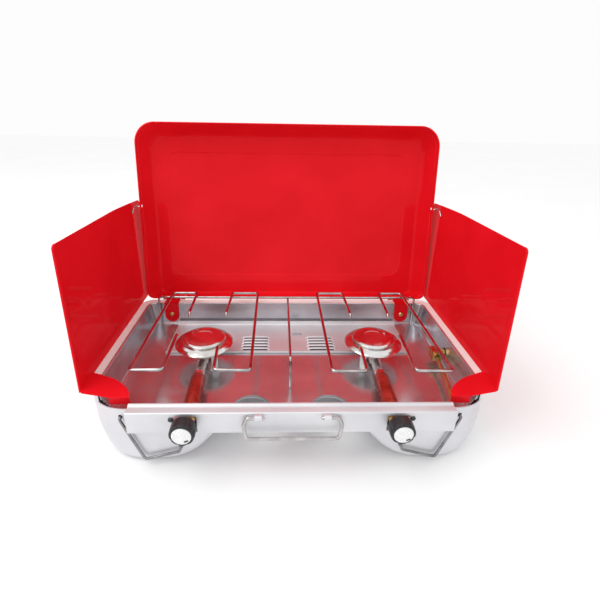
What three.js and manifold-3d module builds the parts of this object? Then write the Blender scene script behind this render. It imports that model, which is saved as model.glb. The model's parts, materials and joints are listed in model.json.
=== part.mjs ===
// Two-burner folding camping stove, open for cooking.
// Millimetres, +Z up, +X to the cook's right, +Y to the back.
// Lengths below are given in the case frame: X = 0 on the centre line, Y = 0 at mid depth,
// Z = 0 at the rim. The whole assembly is lifted and shifted at the end, so its origin is the
// centre of its footprint on the ground.
import * as THREE from 'three';
import { mergeVertices } from 'three/addons/utils/BufferGeometryUtils.js';
import Module from 'manifold-3d';

const wasm = await Module();
wasm.setup();

// ---- driving dimensions ----
const GAP = 0.3;                 // clearance between separate pieces
const RIM_X = 275;               // half width over the rim
const RIM_Y = 160;               // half depth over the rim
const LEDGE = 18.6;              // width of the flat rim
const FRONT_CORNER = 84;         // plan radius of the front corners
const REAR_CORNER = 24;          // plan radius of the rear corners
const GROUND = -90;              // feet level below the rim
const SHEET = 1.4;               // thickness of the folded sheet pieces
const PAN_DEPTH = 40;            // depth of the drip tray
const BURNER_X = 137;            // burner centre from the centre line
const BURNER_Y = 18;             // burner centre
const KNOB_X = 131;              // knob axis from the centre line
const KNOB_Z = -13;              // knob axis height
const FASCIA_X = 203;            // half width of the control panel
const FASCIA_H = 30;             // height of the control panel
const TRIVET_Z = 20;             // centre height of the pan-support wires
const TRIVET_WIRE = 2.3;         // radius of the pan-support wires
const LID_LENGTH = 313;          // lid, hinge edge to front edge
const LID_X = 269.5;             // half width of the lid
const LID_DEPTH = 38;            // depth of the lid
const LID_CORNER = 36;           // plan radius of the lid's free corners
const LID_LEAN = THREE.MathUtils.degToRad(9.4);   // how far the open lid leans back
const HINGE_Y = 163;             // lid hinge axis
const HINGE_Z = 4.5;
const SHIELD_X = 272;            // inner face of a side wind shield at its foot
const SHIELD_SPLAY = THREE.MathUtils.degToRad(1.5);

// ---- materials ----
const paint = (color, roughness, metalness) =>
  new THREE.MeshStandardMaterial({ color, roughness, metalness });
const RED = paint(0xe01a22, 0.25, 0.1);
const ALLOY = paint(0xd9d9dc, 0.35, 0.8);
const STEEL = paint(0xc4c0c4, 0.18, 0.95);
const CHROME = paint(0xd8d4d4, 0.08, 1);
const CAST = paint(0xe6e2da, 0.5, 0.6);
const BRASS = paint(0xc9a24a, 0.3, 0.95);
const BLACK = paint(0x141416, 0.4, 0);
const SILVER = paint(0xe2e2e6, 0.25, 0.7);
const RED_TUBE = paint(0x9a2420, 0.35, 0.5);

// ---- solids: conversion, joining and cutting ----
function solid(geometry) {
  const bare = geometry.clone();
  for (const name of Object.keys(bare.attributes)) {
    if (name !== 'position') bare.deleteAttribute(name);
  }
  const merged = mergeVertices(bare, 1e-4);
  const index = merged.index.array;
  const keep = [];
  for (let i = 0; i < index.length; i += 3) {
    const [a, b, c] = [index[i], index[i + 1], index[i + 2]];
    if (a !== b && b !== c && c !== a) keep.push(a, b, c);
  }
  const vertProperties = new Float32Array(merged.attributes.position.array);
  const triVerts = new Uint32Array(keep);
  const made = new wasm.Manifold(new wasm.Mesh({ numProp: 3, vertProperties, triVerts }));
  if (made.volume() > 0) return made;
  return new wasm.Manifold(new wasm.Mesh({ numProp: 3, vertProperties, triVerts: triVerts.toReversed() }));
}

function geometryOf(manifold) {
  const mesh = manifold.getMesh();
  const geometry = new THREE.BufferGeometry();
  geometry.setAttribute('position', new THREE.BufferAttribute(new Float32Array(mesh.vertProperties), 3));
  geometry.setIndex(new THREE.BufferAttribute(new Uint32Array(mesh.triVerts), 1));
  geometry.computeVertexNormals();
  return geometry;
}

const join = (...parts) => parts.reduce((whole, part) => whole.add(part));
const cut = (body, ...tools) => tools.reduce((whole, tool) => whole.subtract(tool), body);

// ---- basic shapes, all returned as solids ----
function block(x0, x1, y0, y1, z0, z1) {
  const g = new THREE.BoxGeometry(x1 - x0, y1 - y0, z1 - z0);
  g.translate((x0 + x1) / 2, (y0 + y1) / 2, (z0 + z1) / 2);
  return solid(g);
}

// A turned shape: profile points are (radius, height); the axis passes through `centre` along `axis`.
function turned(profile, sides, centre, axis = 'z') {
  const g = new THREE.LatheGeometry(profile.map(([r, h]) => new THREE.Vector2(r, h)), sides);
  if (axis === 'z') g.rotateX(Math.PI / 2);
  if (axis === '-y') g.rotateX(Math.PI);   // the lathe's own axis is +Y
  if (axis === 'x') g.rotateZ(-Math.PI / 2);
  g.translate(...centre);
  return solid(g);
}

// A round bar along one axis, from `from` to `to` measured along that axis.
function bar(radius, from, to, sides, centre, axis) {
  return turned([[0, from], [radius, from], [radius, to], [0, to]], sides, centre, axis);
}

// An upright plate: a closed outline in XY raised from z0 to z1.
function plate(outline, z0, z1) {
  const shape = new THREE.Shape(outline);
  const g = new THREE.ExtrudeGeometry(shape, { depth: z1 - z0, bevelEnabled: false, steps: 1 });
  g.translate(0, 0, z0);
  return solid(g);
}

// A skin between rings of equal point count, closed by flat ends.
function loft(rings) {
  const n = rings[0].length;
  const position = [];
  const index = [];
  for (const ring of rings) for (const p of ring) position.push(p.x, p.y, p.z);
  for (let k = 0; k + 1 < rings.length; k++) {
    for (let i = 0; i < n; i++) {
      const a = k * n + i;
      const b = k * n + (i + 1) % n;
      index.push(a, b, b + n, a, b + n, a + n);
    }
  }
  const cap = THREE.ShapeUtils.triangulateShape(rings[0].map((p) => new THREE.Vector2(p.x, p.y)), []);
  const last = (rings.length - 1) * n;
  for (const [a, b, c] of cap) {
    index.push(c, b, a);
    index.push(a + last, b + last, c + last);
  }
  const g = new THREE.BufferGeometry();
  g.setAttribute('position', new THREE.Float32BufferAttribute(position, 3));
  g.setIndex(index);
  return solid(g);
}

// Counter-clockwise rounded rectangle with its own front and rear corner radii.
function outline(halfX, front, rear, frontRadius, rearRadius, steps) {
  const corners = [
    [halfX - frontRadius, front + frontRadius, frontRadius, -Math.PI / 2],
    [halfX - rearRadius, rear - rearRadius, rearRadius, 0],
    [-halfX + rearRadius, rear - rearRadius, rearRadius, Math.PI / 2],
    [-halfX + frontRadius, front + frontRadius, frontRadius, Math.PI],
  ];
  const points = [];
  for (const [cx, cy, r, start] of corners) {
    for (let i = 0; i <= steps; i++) {
      const a = start + (i / steps) * Math.PI / 2;
      points.push(new THREE.Vector2(cx + r * Math.cos(a), cy + r * Math.sin(a)));
    }
  }
  return points;
}

// A curve that passes exactly through its stations, one extrusion step from each to the next.
class Stations extends THREE.Curve {
  constructor(points) {
    super();
    this.points = points;
  }

  getPoint(t, target = new THREE.Vector3()) {
    const s = t * (this.points.length - 1);
    const i = Math.min(Math.floor(s + 1e-9), this.points.length - 2);
    return target.copy(this.points[i]).lerp(this.points[i + 1], s - i);
  }

  getPointAt(u, target) {
    return this.getPoint(u, target);
  }

  getTangentAt(u, target = new THREE.Vector3()) {
    const i = Math.round(u * (this.points.length - 1));
    const before = this.points[Math.max(i - 1, 0)];
    const after = this.points[Math.min(i + 1, this.points.length - 1)];
    return target.copy(after).sub(before).normalize();
  }
}

// Round wire through corner points; each corner is bent to the bend radius in `bends` steps.
function wire(corners, radius, bendRadius = 8, sides = 8, bends = 4) {
  const c = corners.map((p) => new THREE.Vector3(...p));
  const stations = [c[0]];
  for (let i = 1; i + 1 < c.length; i++) {
    const back = c[i - 1].clone().sub(c[i]);
    const ahead = c[i + 1].clone().sub(c[i]);
    const angle = Math.PI - back.angleTo(ahead);
    const reach = Math.min(bendRadius * Math.tan(angle / 2), back.length() * 0.45, ahead.length() * 0.45);
    const start = c[i].clone().addScaledVector(back.normalize(), reach);
    const end = c[i].clone().addScaledVector(ahead.normalize(), reach);
    const arc = new THREE.QuadraticBezierCurve3(start, c[i], end);
    stations.push(...arc.getPoints(bends));
  }
  stations.push(c[c.length - 1]);
  const section = [];
  for (let i = 0; i < sides; i++) {
    const a = (i / sides) * 2 * Math.PI;
    section.push(new THREE.Vector2(radius * Math.cos(a), radius * Math.sin(a)));
  }
  const path = new Stations(stations);
  const shape = new THREE.Shape(section);
  const g = new THREE.ExtrudeGeometry(shape, { steps: stations.length - 1, extrudePath: path });
  return solid(g);
}

// Mirror of a solid in the plane X = 0.
const mirrored = (manifold) => manifold.mirror([1, 0, 0]);

// ---- assembly ----
const stove = new THREE.Group();

function add(name, manifold, material, parent = stove) {
  const mesh = new THREE.Mesh(geometryOf(manifold), material);
  mesh.name = name;
  parent.add(mesh);
}

const SIDES = [['left', -1], ['right', 1]];
const onSide = (side, manifold) => (side < 0 ? mirrored(manifold) : manifold);

// ---- case: a drawn shell that stands on two rounded lobes, with a raised middle ----
const CASE_WALL = 1.5;
const CASE_TOP = -1.5;           // under the tray's flange
const LOBE_OUT = 208;            // lobe: outer end of its flat foot
const LOBE_IN = 172;             // lobe: inner end of its flat foot
const ARCH_X = 98;               // the raised middle starts here
const ARCH_Z = -44;              // underside of the raised middle
const CASE_X = 272;
const CASE_FRONT = -150.5;
const CASE_REAR = 158.5;
const EDGE_RISE = 14;            // the lobes' front and rear edges are rounded over this height
const EDGE_INSET = 8;            // and by this depth
const VENT_X = 55;
const VENT_Y = -104;
const VENT_R = 27;

// Front elevation of the shell, drawn inward by t from its outside.
function caseElevation(t) {
  const right = [];
  const rx = CASE_X - LOBE_OUT - t;
  const rz = -GROUND - 10 - t;
  const steps = 9;
  for (let i = 0; i <= steps; i++) {
    const a = (i / steps) * Math.PI / 2;
    right.push([LOBE_OUT + rx * Math.cos(a), -10 - rz * Math.sin(a)]);
  }
  const hump = new THREE.CubicBezierCurve(
    new THREE.Vector2(LOBE_IN, GROUND + t),
    new THREE.Vector2(LOBE_IN - 32, GROUND + t),
    new THREE.Vector2(ARCH_X + 22 + t, ARCH_Z - 28 + t),
    new THREE.Vector2(ARCH_X + t, ARCH_Z + t),
  );
  for (const p of hump.getPoints(7)) right.push([p.x, p.y]);
  const left = right.map(([x, z]) => [-x, z]).reverse();
  const top = 30;
  const ring = [[CASE_X - t, top], ...right, ...left, [-CASE_X + t, top]];
  return ring.map(([x, z]) => new THREE.Vector2(x, z));
}

// Plan of the shell at depth z, drawn inward by t, rounding in towards the ground.
function casePlan(z, t) {
  const near = Math.max(0, GROUND + EDGE_RISE - z) / EDGE_RISE;
  const inset = EDGE_INSET * (1 - Math.sqrt(Math.max(0, 1 - near * near))) + t;
  const pts = outline(CASE_X + 2 - inset, CASE_FRONT + inset, CASE_REAR - inset, FRONT_CORNER - inset * 0.6,
    REAR_CORNER - inset * 0.3, 8);
  return pts.map((p) => new THREE.Vector3(p.x, p.y, z));
}

const BLANK_DEPTH = 340;         // longer than the case, front to back
function caseBody(t, top) {
  const shape = new THREE.Shape(caseElevation(t));
  const g = new THREE.ExtrudeGeometry(shape, { depth: BLANK_DEPTH, bevelEnabled: false });
  g.rotateX(Math.PI / 2);
  g.translate(0, BLANK_DEPTH / 2, 0);
  const levels = [GROUND + t, GROUND + 2 + t, GROUND + 5 + t, GROUND + 9, GROUND + EDGE_RISE, -40, top];
  return solid(g).intersect(loft(levels.map((z) => casePlan(z, t))));
}

const vents = join(...[-1, 1].map((s) => bar(VENT_R, -60, -20, 28, [s * VENT_X, VENT_Y, 0], 'z')));
const INLET = { x: 240, y: 8, z: -24 };
const inletHole = bar(9, 225, 290, 20, [0, INLET.y, INLET.z], 'x');
const WIRE_EYE = { x: 215, z: -17 };   // hole for the outer end of a corner wire
const WIRE_TAIL = { x: 143, z: -62 };  // and for its inner end
const WIRE_HOLE = 3;
const CORNER_DROP = -3;                // the rim of the front corners starts lower and slopes outwards
const CORNER_SLOPE = 10;               // degrees
let shell = cut(caseBody(0, CASE_TOP), caseBody(CASE_WALL, 5));
shell = cut(shell, vents, inletHole);
// opening behind the control panel
shell = cut(shell, block(-FASCIA_X - 1, FASCIA_X + 1, -200, -140, -30.4, 10));
for (const side of [-1, 1]) {
  const slope = block(0, 90, -200, -124, 0, 20)
    .rotate([0, CORNER_SLOPE, 0])
    .translate([FASCIA_X, 0, CORNER_DROP]);
  shell = cut(shell, onSide(side, slope));
  for (const { x, z } of [WIRE_EYE, WIRE_TAIL]) {
    shell = cut(shell, bar(WIRE_HOLE, 130, 180, 12, [side * x, 0, z], '-y'));
  }
}
add('case_shell', shell, ALLOY);

// ---- drip tray: flat ledge on three sides, sloping walls, floor with two round air holes ----
const TRAY_X = RIM_X - LEDGE;
const TRAY_FRONT = -145;
const TRAY_REAR = RIM_Y - LEDGE;
const TRAY_SHEET = 1.2;
const BEAD = 1.6;                // height of the ledge's inner bead

function trayPlan(z, t) {
  const drop = -z / PAN_DEPTH;
  const inset = 6 * drop - t;
  const pts = outline(TRAY_X - inset, TRAY_FRONT + inset, TRAY_REAR - inset * 0.4, 54 - inset * 0.5,
    12 - inset * 0.2, 6);
  return pts.map((p) => new THREE.Vector3(p.x, p.y, z));
}

function trayBody(t, top) {
  const floor = -PAN_DEPTH - t;
  const round = trayPlan(-PAN_DEPTH + 4, t);
  const bottom = trayPlan(-PAN_DEPTH, t - 5).map((p) => new THREE.Vector3(p.x, p.y, floor));
  return loft([bottom, round, trayPlan(top, t)]);
}

const ledgePlan = outline(RIM_X, -RIM_Y, RIM_Y, FRONT_CORNER, REAR_CORNER, 6);
const beadPlan = outline(TRAY_X + 3.6, TRAY_FRONT - 3.6, TRAY_REAR + 3.6, 56, 14, 6);
let tray = join(
  plate(ledgePlan, -TRAY_SHEET, 0),
  plate(beadPlan, -TRAY_SHEET, BEAD),
  trayBody(TRAY_SHEET, 0));
tray = cut(tray, trayBody(0, 8), vents, inletHole);
// lowered at the front corners, and lower still behind the panel
tray = cut(tray, block(-300, 300, -200, -123, -8, 10));
tray = cut(tray, block(-FASCIA_X - 2, FASCIA_X + 2, -200, -130, -29, 10));
const LEAF_X = 218;              // centre of a lid hinge
const LEAF_RIVET_Z = -20;
for (const side of [-1, 1]) {
  const x = side * LEAF_X;
  const rivetHole = bar(1.9, -170, -120, 12, [x, 0, LEAF_RIVET_Z], '-y');
  tray = cut(tray, block(x - 15, x + 15, 140.5, 170, 0, 10), rivetHole);
}
add('drip_tray', tray, STEEL);

// ---- rear heat plate with pressed louvres, lying on the tray floor ----
const PLATE_X = 206;
const PLATE_FRONT = 32;
const PLATE_REAR = 132;
const PLATE_Z = -PAN_DEPTH + GAP;
let heatPlate = block(-PLATE_X, PLATE_X, PLATE_FRONT, PLATE_REAR, PLATE_Z, PLATE_Z + 1.2);
const rise = block(-PLATE_X, PLATE_X, PLATE_REAR - 1.2, PLATE_REAR, PLATE_Z, PLATE_Z + 7);
const hem = bar(1.5, -PLATE_X, PLATE_X, 8, [0, PLATE_FRONT + 1.5, PLATE_Z + 1.6], 'x');
heatPlate = join(heatPlate, rise, hem);
for (const side of [-1, 1]) {
  for (let i = 0; i < 5; i++) {
    const y = 44 + i * 9.5;
    const x = side * 57;
    const hood = turned([[0, -25], [2.4, -22], [2.4, 22], [0, 25]], 6, [x, y, PLATE_Z + 1.2], 'x');
    const above = block(x - 26, x + 26, y - 3, y + 3, PLATE_Z + 0.4, PLATE_Z + 5);
    heatPlate = join(heatPlate, hood.intersect(above));
    heatPlate = cut(heatPlate, block(x - 20, x + 20, y - 3.6, y - 1.5, PLATE_Z - 1, PLATE_Z + 1.9));
  }
}
heatPlate = cut(heatPlate, block(8, 26, 90, 98, PLATE_Z - 1, PLATE_Z + 3));
add('rear_heat_plate', heatPlate, ALLOY);

// ---- control panel ----
const PANEL_FACE = -162.5;
const panelSection = [
  [-143.2, 0], [-143.2, 1.2], [-144.2, 2.2], [-146.6, 2.2], [-148.6, 0.7],
  [-151, 0.3], [-152.4, 0.9], [-160.6, 1.1], [-162, 0.3],
  [PANEL_FACE, -1.2], [PANEL_FACE, -FASCIA_H + 1], [-161.5, -FASCIA_H], [-152, -FASCIA_H],
  [-152, -FASCIA_H + SHEET], [PANEL_FACE + SHEET, -FASCIA_H + SHEET], [PANEL_FACE + SHEET, -1.4],
  [-160.4, -0.4], [-152.6, -0.5], [-151.2, -1.1], [-146, -1.1], [-145.2, -3.5], [-143.8, -3.5],
];
function panelPlate() {
  const shape = new THREE.Shape(panelSection.map(([y, z]) => new THREE.Vector2(y, z)));
  const g = new THREE.ExtrudeGeometry(shape, { depth: 2 * FASCIA_X, bevelEnabled: false });
  g.applyMatrix4(new THREE.Matrix4().makeBasis(
    new THREE.Vector3(0, 1, 0), new THREE.Vector3(0, 0, 1), new THREE.Vector3(1, 0, 0)));
  g.translate(-FASCIA_X, 0, 0);
  return solid(g);
}
const PANEL_SCREW_X = 148;
let panel = panelPlate();
for (const side of [-1, 1]) {
  panel = cut(panel, block(side * KNOB_X - 14, side * KNOB_X + 14, -170, -155, -27.5, -3.4));
  panel = cut(panel, bar(1.9, 140, 175, 12, [side * PANEL_SCREW_X, 0, -8], '-y'));
}
add('control_panel', panel, ALLOY);

// ---- corner wires: a bent wire in front of each lobe ----
const CORNER_WIRE = 1.9;
for (const [name, side] of SIDES) {
  const bent = wire([
    [WIRE_EYE.x, -144.2, WIRE_EYE.z], [WIRE_EYE.x, -151, WIRE_EYE.z], [190, -153.6, -81],
    [145, -153.6, -68], [WIRE_TAIL.x, -153.2, WIRE_TAIL.z - 1], [WIRE_TAIL.x, -144, WIRE_TAIL.z],
  ], CORNER_WIRE, 5, 8, 3);
  add(`corner_wire_${name}`, onSide(side, bent), CHROME);
}

// ---- burners ----
const ROUND = 28;                // facets of a large round part
const HUB_Z = -17;               // underside of the burner head
const ELBOW_Z = HUB_Z - 10;      // axis of the elbow's outlet
const MIXING = 52;               // length of the mixing tube
const SLEEVE = 75;               // and of the air sleeve beyond it
const TUBE_START = new THREE.Vector3(BURNER_X, BURNER_Y - 25, ELBOW_Z);
const TUBE_END = new THREE.Vector3(KNOB_X, -120, KNOB_Z - 5);

// Places a tube piece, made along -Y from the origin, on the line from the burner to its valve.
function towardsValve(manifold, offset) {
  const along = TUBE_END.clone().sub(TUBE_START).normalize();
  const turn = new THREE.Quaternion().setFromUnitVectors(new THREE.Vector3(0, -1, 0), along);
  const place = new THREE.Matrix4().compose(
    TUBE_START.clone().addScaledVector(along, offset), turn, new THREE.Vector3(1, 1, 1));
  return manifold.transform(place.toArray());
}

for (const [name, side] of SIDES) {
  const c = [side * BURNER_X, BURNER_Y, 0];
  const cap = turned([
    [0, -3.2], [32.2, -3.2], [33.6, -2.2], [34, -1], [33.2, 0.4], [29, 2], [15, 3.4], [0, 3.8],
  ], ROUND, c);
  add(`burner_cap_${name}`, cap, CHROME);
  let head = turned([
    [0, -3.5], [32.5, -3.5], [35, -3.8], [40, -5], [44.6, -7], [46.4, -8.8], [45.6, -9.8], [40, -9.2],
    [27, -12], [14.5, HUB_Z], [0, HUB_Z],
  ], ROUND, c);
  head = cut(head, bar(9, HUB_Z - 5, HUB_Z + 5, 16, c, 'z'));
  add(`burner_head_${name}`, head, CHROME);
  let elbow = turned([
    [0, ELBOW_Z - 9.5], [10, ELBOW_Z - 9.5], [12, ELBOW_Z - 6], [12, HUB_Z - GAP], [0, HUB_Z - GAP],
  ], 20, c);
  const spigot = [c[0], BURNER_Y, ELBOW_Z];
  elbow = join(elbow, bar(9.2, 2, 24, 20, spigot, '-y'));
  elbow = cut(elbow, bar(7.2, 8, 40, 16, spigot, '-y'), bar(8.6, ELBOW_Z, -10, 16, c, 'z'));
  add(`burner_elbow_${name}`, elbow, CAST);
  const mixing = cut(
    turned([
      [0, 0], [9.2, 0], [9.2, 4], [7.8, 8], [7.8, 38], [9.6, 44], [9.6, MIXING], [0, MIXING],
    ], 16, [0, 0, 0], '-y'),
    bar(6.4, -5, 60, 12, [0, 0, 0], '-y'));
  add(`mixing_tube_${name}`, onSide(side, towardsValve(mixing, 0)), CHROME);
  let sleeve = cut(
    bar(10.6, 0, SLEEVE, 16, [0, 0, 0], '-y'),
    bar(9, -5, SLEEVE + 5, 16, [0, 0, 0], '-y'));
  sleeve = cut(sleeve, block(-4, 4, -48, -30, -15, -5));
  add(`air_sleeve_${name}`, onSide(side, towardsValve(sleeve, MIXING + GAP)), RED_TUBE);

  const strapX = side * (BURNER_X - 18);
  const strap = join(
    block(strapX - 5, strapX + 5, -2, 12, -19.6, -18.2),
    block(strapX - 5, strapX + 5, -3.4, -2, -PAN_DEPTH + GAP, -18.2),
    block(strapX - 5, strapX + 5, -18, -2, -PAN_DEPTH + GAP, -PAN_DEPTH + GAP + 1.4));
  add(`burner_bracket_${name}`, strap, CAST);
}

// ---- gas line: inlet, manifold pipe and valves behind the control panel ----
const VALVE_Y = -146;
for (const [name, side] of SIDES) {
  const x = side * KNOB_X;
  let valve = join(
    block(x - 9, x + 9, VALVE_Y - 7, VALVE_Y + 7, KNOB_Z - 9, KNOB_Z + 7),
    bar(6.5, 7, 14, 12, [x, VALVE_Y, KNOB_Z], '-y'),
    bar(4.2, -34, -6, 12, [x, VALVE_Y, KNOB_Z - 4], '-y'));
  valve = cut(valve, bar(3.15, 2, 30, 16, [x, VALVE_Y, KNOB_Z], '-y'));
  valve = cut(valve, bar(3.4, -30, 30, 12, [x, VALVE_Y + 1, KNOB_Z - 4], 'x'));
  add(`gas_valve_${name}`, valve, BRASS);
}
const pipeY = VALVE_Y + 1;
const pipeZ = KNOB_Z - 4;
const manifold = wire([
  [-KNOB_X - 8, pipeY, pipeZ], [KNOB_X + 30, pipeY, pipeZ], [KNOB_X + 52, pipeY + 2, pipeZ - 5],
  [INLET.x - 18, -112, -27], [INLET.x - 8, -60, -27], [INLET.x - 1, INLET.y - 7, INLET.z],
], 3, 14, 8, 4);
add('gas_manifold', manifold, BRASS);
let fitting = join(
  block(INLET.x - 8, INLET.x + 6, INLET.y - 10, INLET.y + 10, INLET.z - 8, INLET.z + 8),
  bar(7, INLET.x + 5, 272, 16, [0, INLET.y, INLET.z], 'x'),
  turned([[0, 0], [8.5, 0], [8.5, 6], [0, 6]], 6, [INLET.x + 6, INLET.y, INLET.z], 'x'));
fitting = cut(fitting, bar(4.2, INLET.x, 280, 14, [0, INLET.y, INLET.z], 'x'));
fitting = cut(fitting, bar(3.6, 5.5, 16, 12, [INLET.x - 1, INLET.y, INLET.z], '-y'));
add('gas_inlet_fitting', fitting, BRASS);

// ---- knobs: stem, knob and face insert turn together ----
const FLUTES = 8;
const FLUTE_CENTRE = 16;         // distance of a finger groove's centre line from the stem
for (const [name, side] of SIDES) {
  const c = [side * KNOB_X, VALVE_Y, KNOB_Z];
  const flat = block(c[0] - 4, c[0] + 4, -190, -171, KNOB_Z + 1.6, KNOB_Z + 5);
  const stem = cut(bar(2.95, 3, 32, 16, c, '-y'), flat);
  add(`valve_stem_${name}`, stem, BRASS);
  let knob = turned([
    [0, 22], [14.8, 22], [15.4, 23], [15.4, 36], [14.8, 38.4], [13.4, 39.4],
    [12.1, 39.4], [12.1, 38.2], [0, 38.2],
  ], 24, c, '-y');
  knob = cut(knob, bar(3.3, 15, 33, 16, c, '-y'));
  for (let i = 0; i < FLUTES; i++) {
    const a = ((i + 0.5) / FLUTES) * 2 * Math.PI;
    const flute = [c[0] + FLUTE_CENTRE * Math.cos(a), c[1], c[2] + FLUTE_CENTRE * Math.sin(a)];
    knob = cut(knob, bar(1.5, 26, 42, 6, flute, '-y'));
  }
  add(`knob_${name}`, knob, BLACK);
  let insert = turned([
    [0, 38.5], [11.8, 38.5], [11.8, 39.6], [10.4, 40.6], [5, 41.2], [0, 41.3],
  ], 20, c, '-y');
  insert = cut(insert, block(c[0] + 3.4, c[0] + 8.6, -190, -186.4, KNOB_Z - 7, KNOB_Z - 5.6));
  add(`knob_insert_${name}`, insert, SILVER);
}

// ---- panel screws ----
for (const [name, side] of SIDES) {
  const c = [side * PANEL_SCREW_X, PANEL_FACE, -8];
  const screw = join(
    turned([[0, GAP], [3.4, GAP], [3, 1.6], [1.4, 2.2], [0, 2.2]], 14, c, '-y'),
    bar(1.6, -6, 0.8, 10, c, '-y'));
  const slot = block(c[0] - 2.4, c[0] + 2.4, -170, c[1] - 1.5, -8.4, -7.6);
  add(`panel_screw_${name}`, cut(screw, slot), STEEL);
}

// ---- carrying handle: a wire bail that hangs from two clips on the panel ----
const BAIL = { x: 56, y: -167, z: -2.6, wire: 2.4, drop: 27.6 };
const bailEnd = 34;
const handle = wire([
  [-bailEnd, BAIL.y, BAIL.z], [-BAIL.x, BAIL.y, BAIL.z], [-BAIL.x - 4, BAIL.y - 2, BAIL.z - 9],
  [-BAIL.x - 1, BAIL.y - 5, BAIL.z - BAIL.drop], [BAIL.x + 1, BAIL.y - 5, BAIL.z - BAIL.drop],
  [BAIL.x + 4, BAIL.y - 2, BAIL.z - 9], [BAIL.x, BAIL.y, BAIL.z], [bailEnd, BAIL.y, BAIL.z],
], BAIL.wire, 5, 8, 3);
add('carry_handle', handle, CHROME);
for (const [name, side] of SIDES) {
  const x = side * 42;
  let clip = join(
    bar(BAIL.wire + 1.6, x - 4.5, x + 4.5, 16, [0, BAIL.y, BAIL.z], 'x'),
    block(x - 4.5, x + 4.5, BAIL.y, PANEL_FACE - GAP, BAIL.z - 3.5, BAIL.z + 3.5));
  clip = cut(clip, bar(BAIL.wire + GAP, x - 6, x + 6, 16, [0, BAIL.y, BAIL.z], 'x'));
  add(`handle_clip_${name}`, clip, STEEL);
}

// ---- pan supports: four wire loops on a rear rail, with a centre prop ----
const REAR_RUN = 146;
const loops = [
  ['outer_left', [[-168, 66], [-169, REAR_RUN], [-213, REAR_RUN], [-215, -99], [-171, -99], [-173, -6]]],
  ['inner_left', [[-106, 64], [-103, REAR_RUN], [-56, REAR_RUN], [-55, -101], [-104, -99], [-106, -41]]],
  ['inner_right', [[105, 61], [103, REAR_RUN], [55, REAR_RUN], [54, -103], [101, -103], [103, -45]]],
  ['outer_right', [[169, 60], [172, REAR_RUN], [215, REAR_RUN], [217, -103], [167, -103], [171, -9]]],
];
for (const [name, run] of loops) {
  const points = run.map(([x, y]) => [x, y, TRIVET_Z]);
  const first = points[0];
  const last = points[points.length - 1];
  points.unshift([first[0], first[1] - 3, TRIVET_Z - 7]);
  points.push([last[0], last[1] + 3, TRIVET_Z - 7]);
  add(`pan_support_${name}`, wire(points, TRIVET_WIRE, 6, 8, 3), CHROME);
}
const RAIL_WIRE = 2;
const RAIL_X = 239;
const RAIL_Z = TRIVET_Z - TRIVET_WIRE - RAIL_WIRE - GAP;
const RAIL_Y = 137.5;
const LEG_END = -PAN_DEPTH + 2 * GAP;
const rail = wire([
  [-RAIL_X, RAIL_Y - 5, LEG_END], [-RAIL_X, RAIL_Y, RAIL_Z],
  [RAIL_X, RAIL_Y, RAIL_Z], [RAIL_X, RAIL_Y - 5, LEG_END],
], RAIL_WIRE, 6, 8, 3);
add('pan_support_rail', rail, CHROME);
const prop = wire([
  [0, RAIL_Y - 2 * RAIL_WIRE - 2 * GAP, RAIL_Z], [0, -52, 6], [0, -60, LEG_END + GAP],
], RAIL_WIRE, 6, 8, 3);
add('pan_support_prop', prop, CHROME);

// ---- lid, built closed-down flat in its own frame, then leant back about the hinge ----
// Lid frame: origin on the hinge axis, u along X, v from the hinge to the free edge, w out of the open side.
const lidGroup = new THREE.Group();
lidGroup.position.set(0, HINGE_Y, HINGE_Z);
lidGroup.rotation.x = Math.PI / 2 - LID_LEAN;
stove.add(lidGroup);

const LID_SHEET = 1.3;
const LID_START = -4.2;          // hinge edge of the rim, notched where the knuckles are
const HINGE_DRAFT = 0.05;        // the hinge-side wall stands almost square to the panel
function lidPlan(depth, t) {
  const f = depth / LID_DEPTH;
  const taper = 11 * f + 7 * f * f;
  const inset = taper + t;
  const hingeEdge = LID_START + taper * HINGE_DRAFT + t;
  return outline(LID_X - inset, hingeEdge, LID_LENGTH - inset, 14, LID_CORNER - inset * 0.4, 6);
}
function lidBody(t, open) {
  const depths = [open, 0.01, 12, 26, 34, LID_DEPTH - t];
  const shrink = [0, 0, 0, 0, 0, 5];
  const rings = depths.map((d, i) => lidPlan(Math.max(d, 0), t + shrink[i])
    .map((p) => new THREE.Vector3(p.x, p.y, -d)));
  return loft(rings.reverse());
}
let lid = cut(lidBody(0, 0), lidBody(LID_SHEET, -3));
const emboss = (inset, z0, z1) =>
  plate(outline(226 - inset, 34 + inset, 268 - inset, 22 - inset, 22 - inset, 5), z0, z1);
lid = join(lid, emboss(0, -LID_DEPTH - 1.2, -LID_DEPTH + 0.2));
lid = cut(lid, emboss(2, -LID_DEPTH, -LID_DEPTH + 3));
const HOOK_V = 170;
for (const side of [-1, 1]) {
  lid = cut(lid, onSide(side, bar(2.4, 255, 280, 12, [0, HOOK_V, -6], 'x')));
  lid = cut(lid, block(side * LEAF_X - 23.5, side * LEAF_X + 23.5, -8, 4, -4.6, 3));
}
add('lid_shell', lid, RED, lidGroup);

// Profile of the lid's hinge-side wall: distance from the hinge at a given depth.
const wallAt = (depth) => LID_START + HINGE_DRAFT * (11 * depth / LID_DEPTH + 7 * (depth / LID_DEPTH) ** 2);

// A strip bent to a section in the plane across the hinge: points are (v, w), extruded along X.
function strip(points, x0, x1) {
  const shape = new THREE.Shape(points.map(([v, w]) => new THREE.Vector2(v, w)));
  const g = new THREE.ExtrudeGeometry(shape, { depth: x1 - x0, bevelEnabled: false });
  g.applyMatrix4(new THREE.Matrix4().makeBasis(
    new THREE.Vector3(0, 1, 0), new THREE.Vector3(0, 0, 1), new THREE.Vector3(1, 0, 0)));
  g.translate(x0, 0, 0);
  return solid(g);
}

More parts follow.
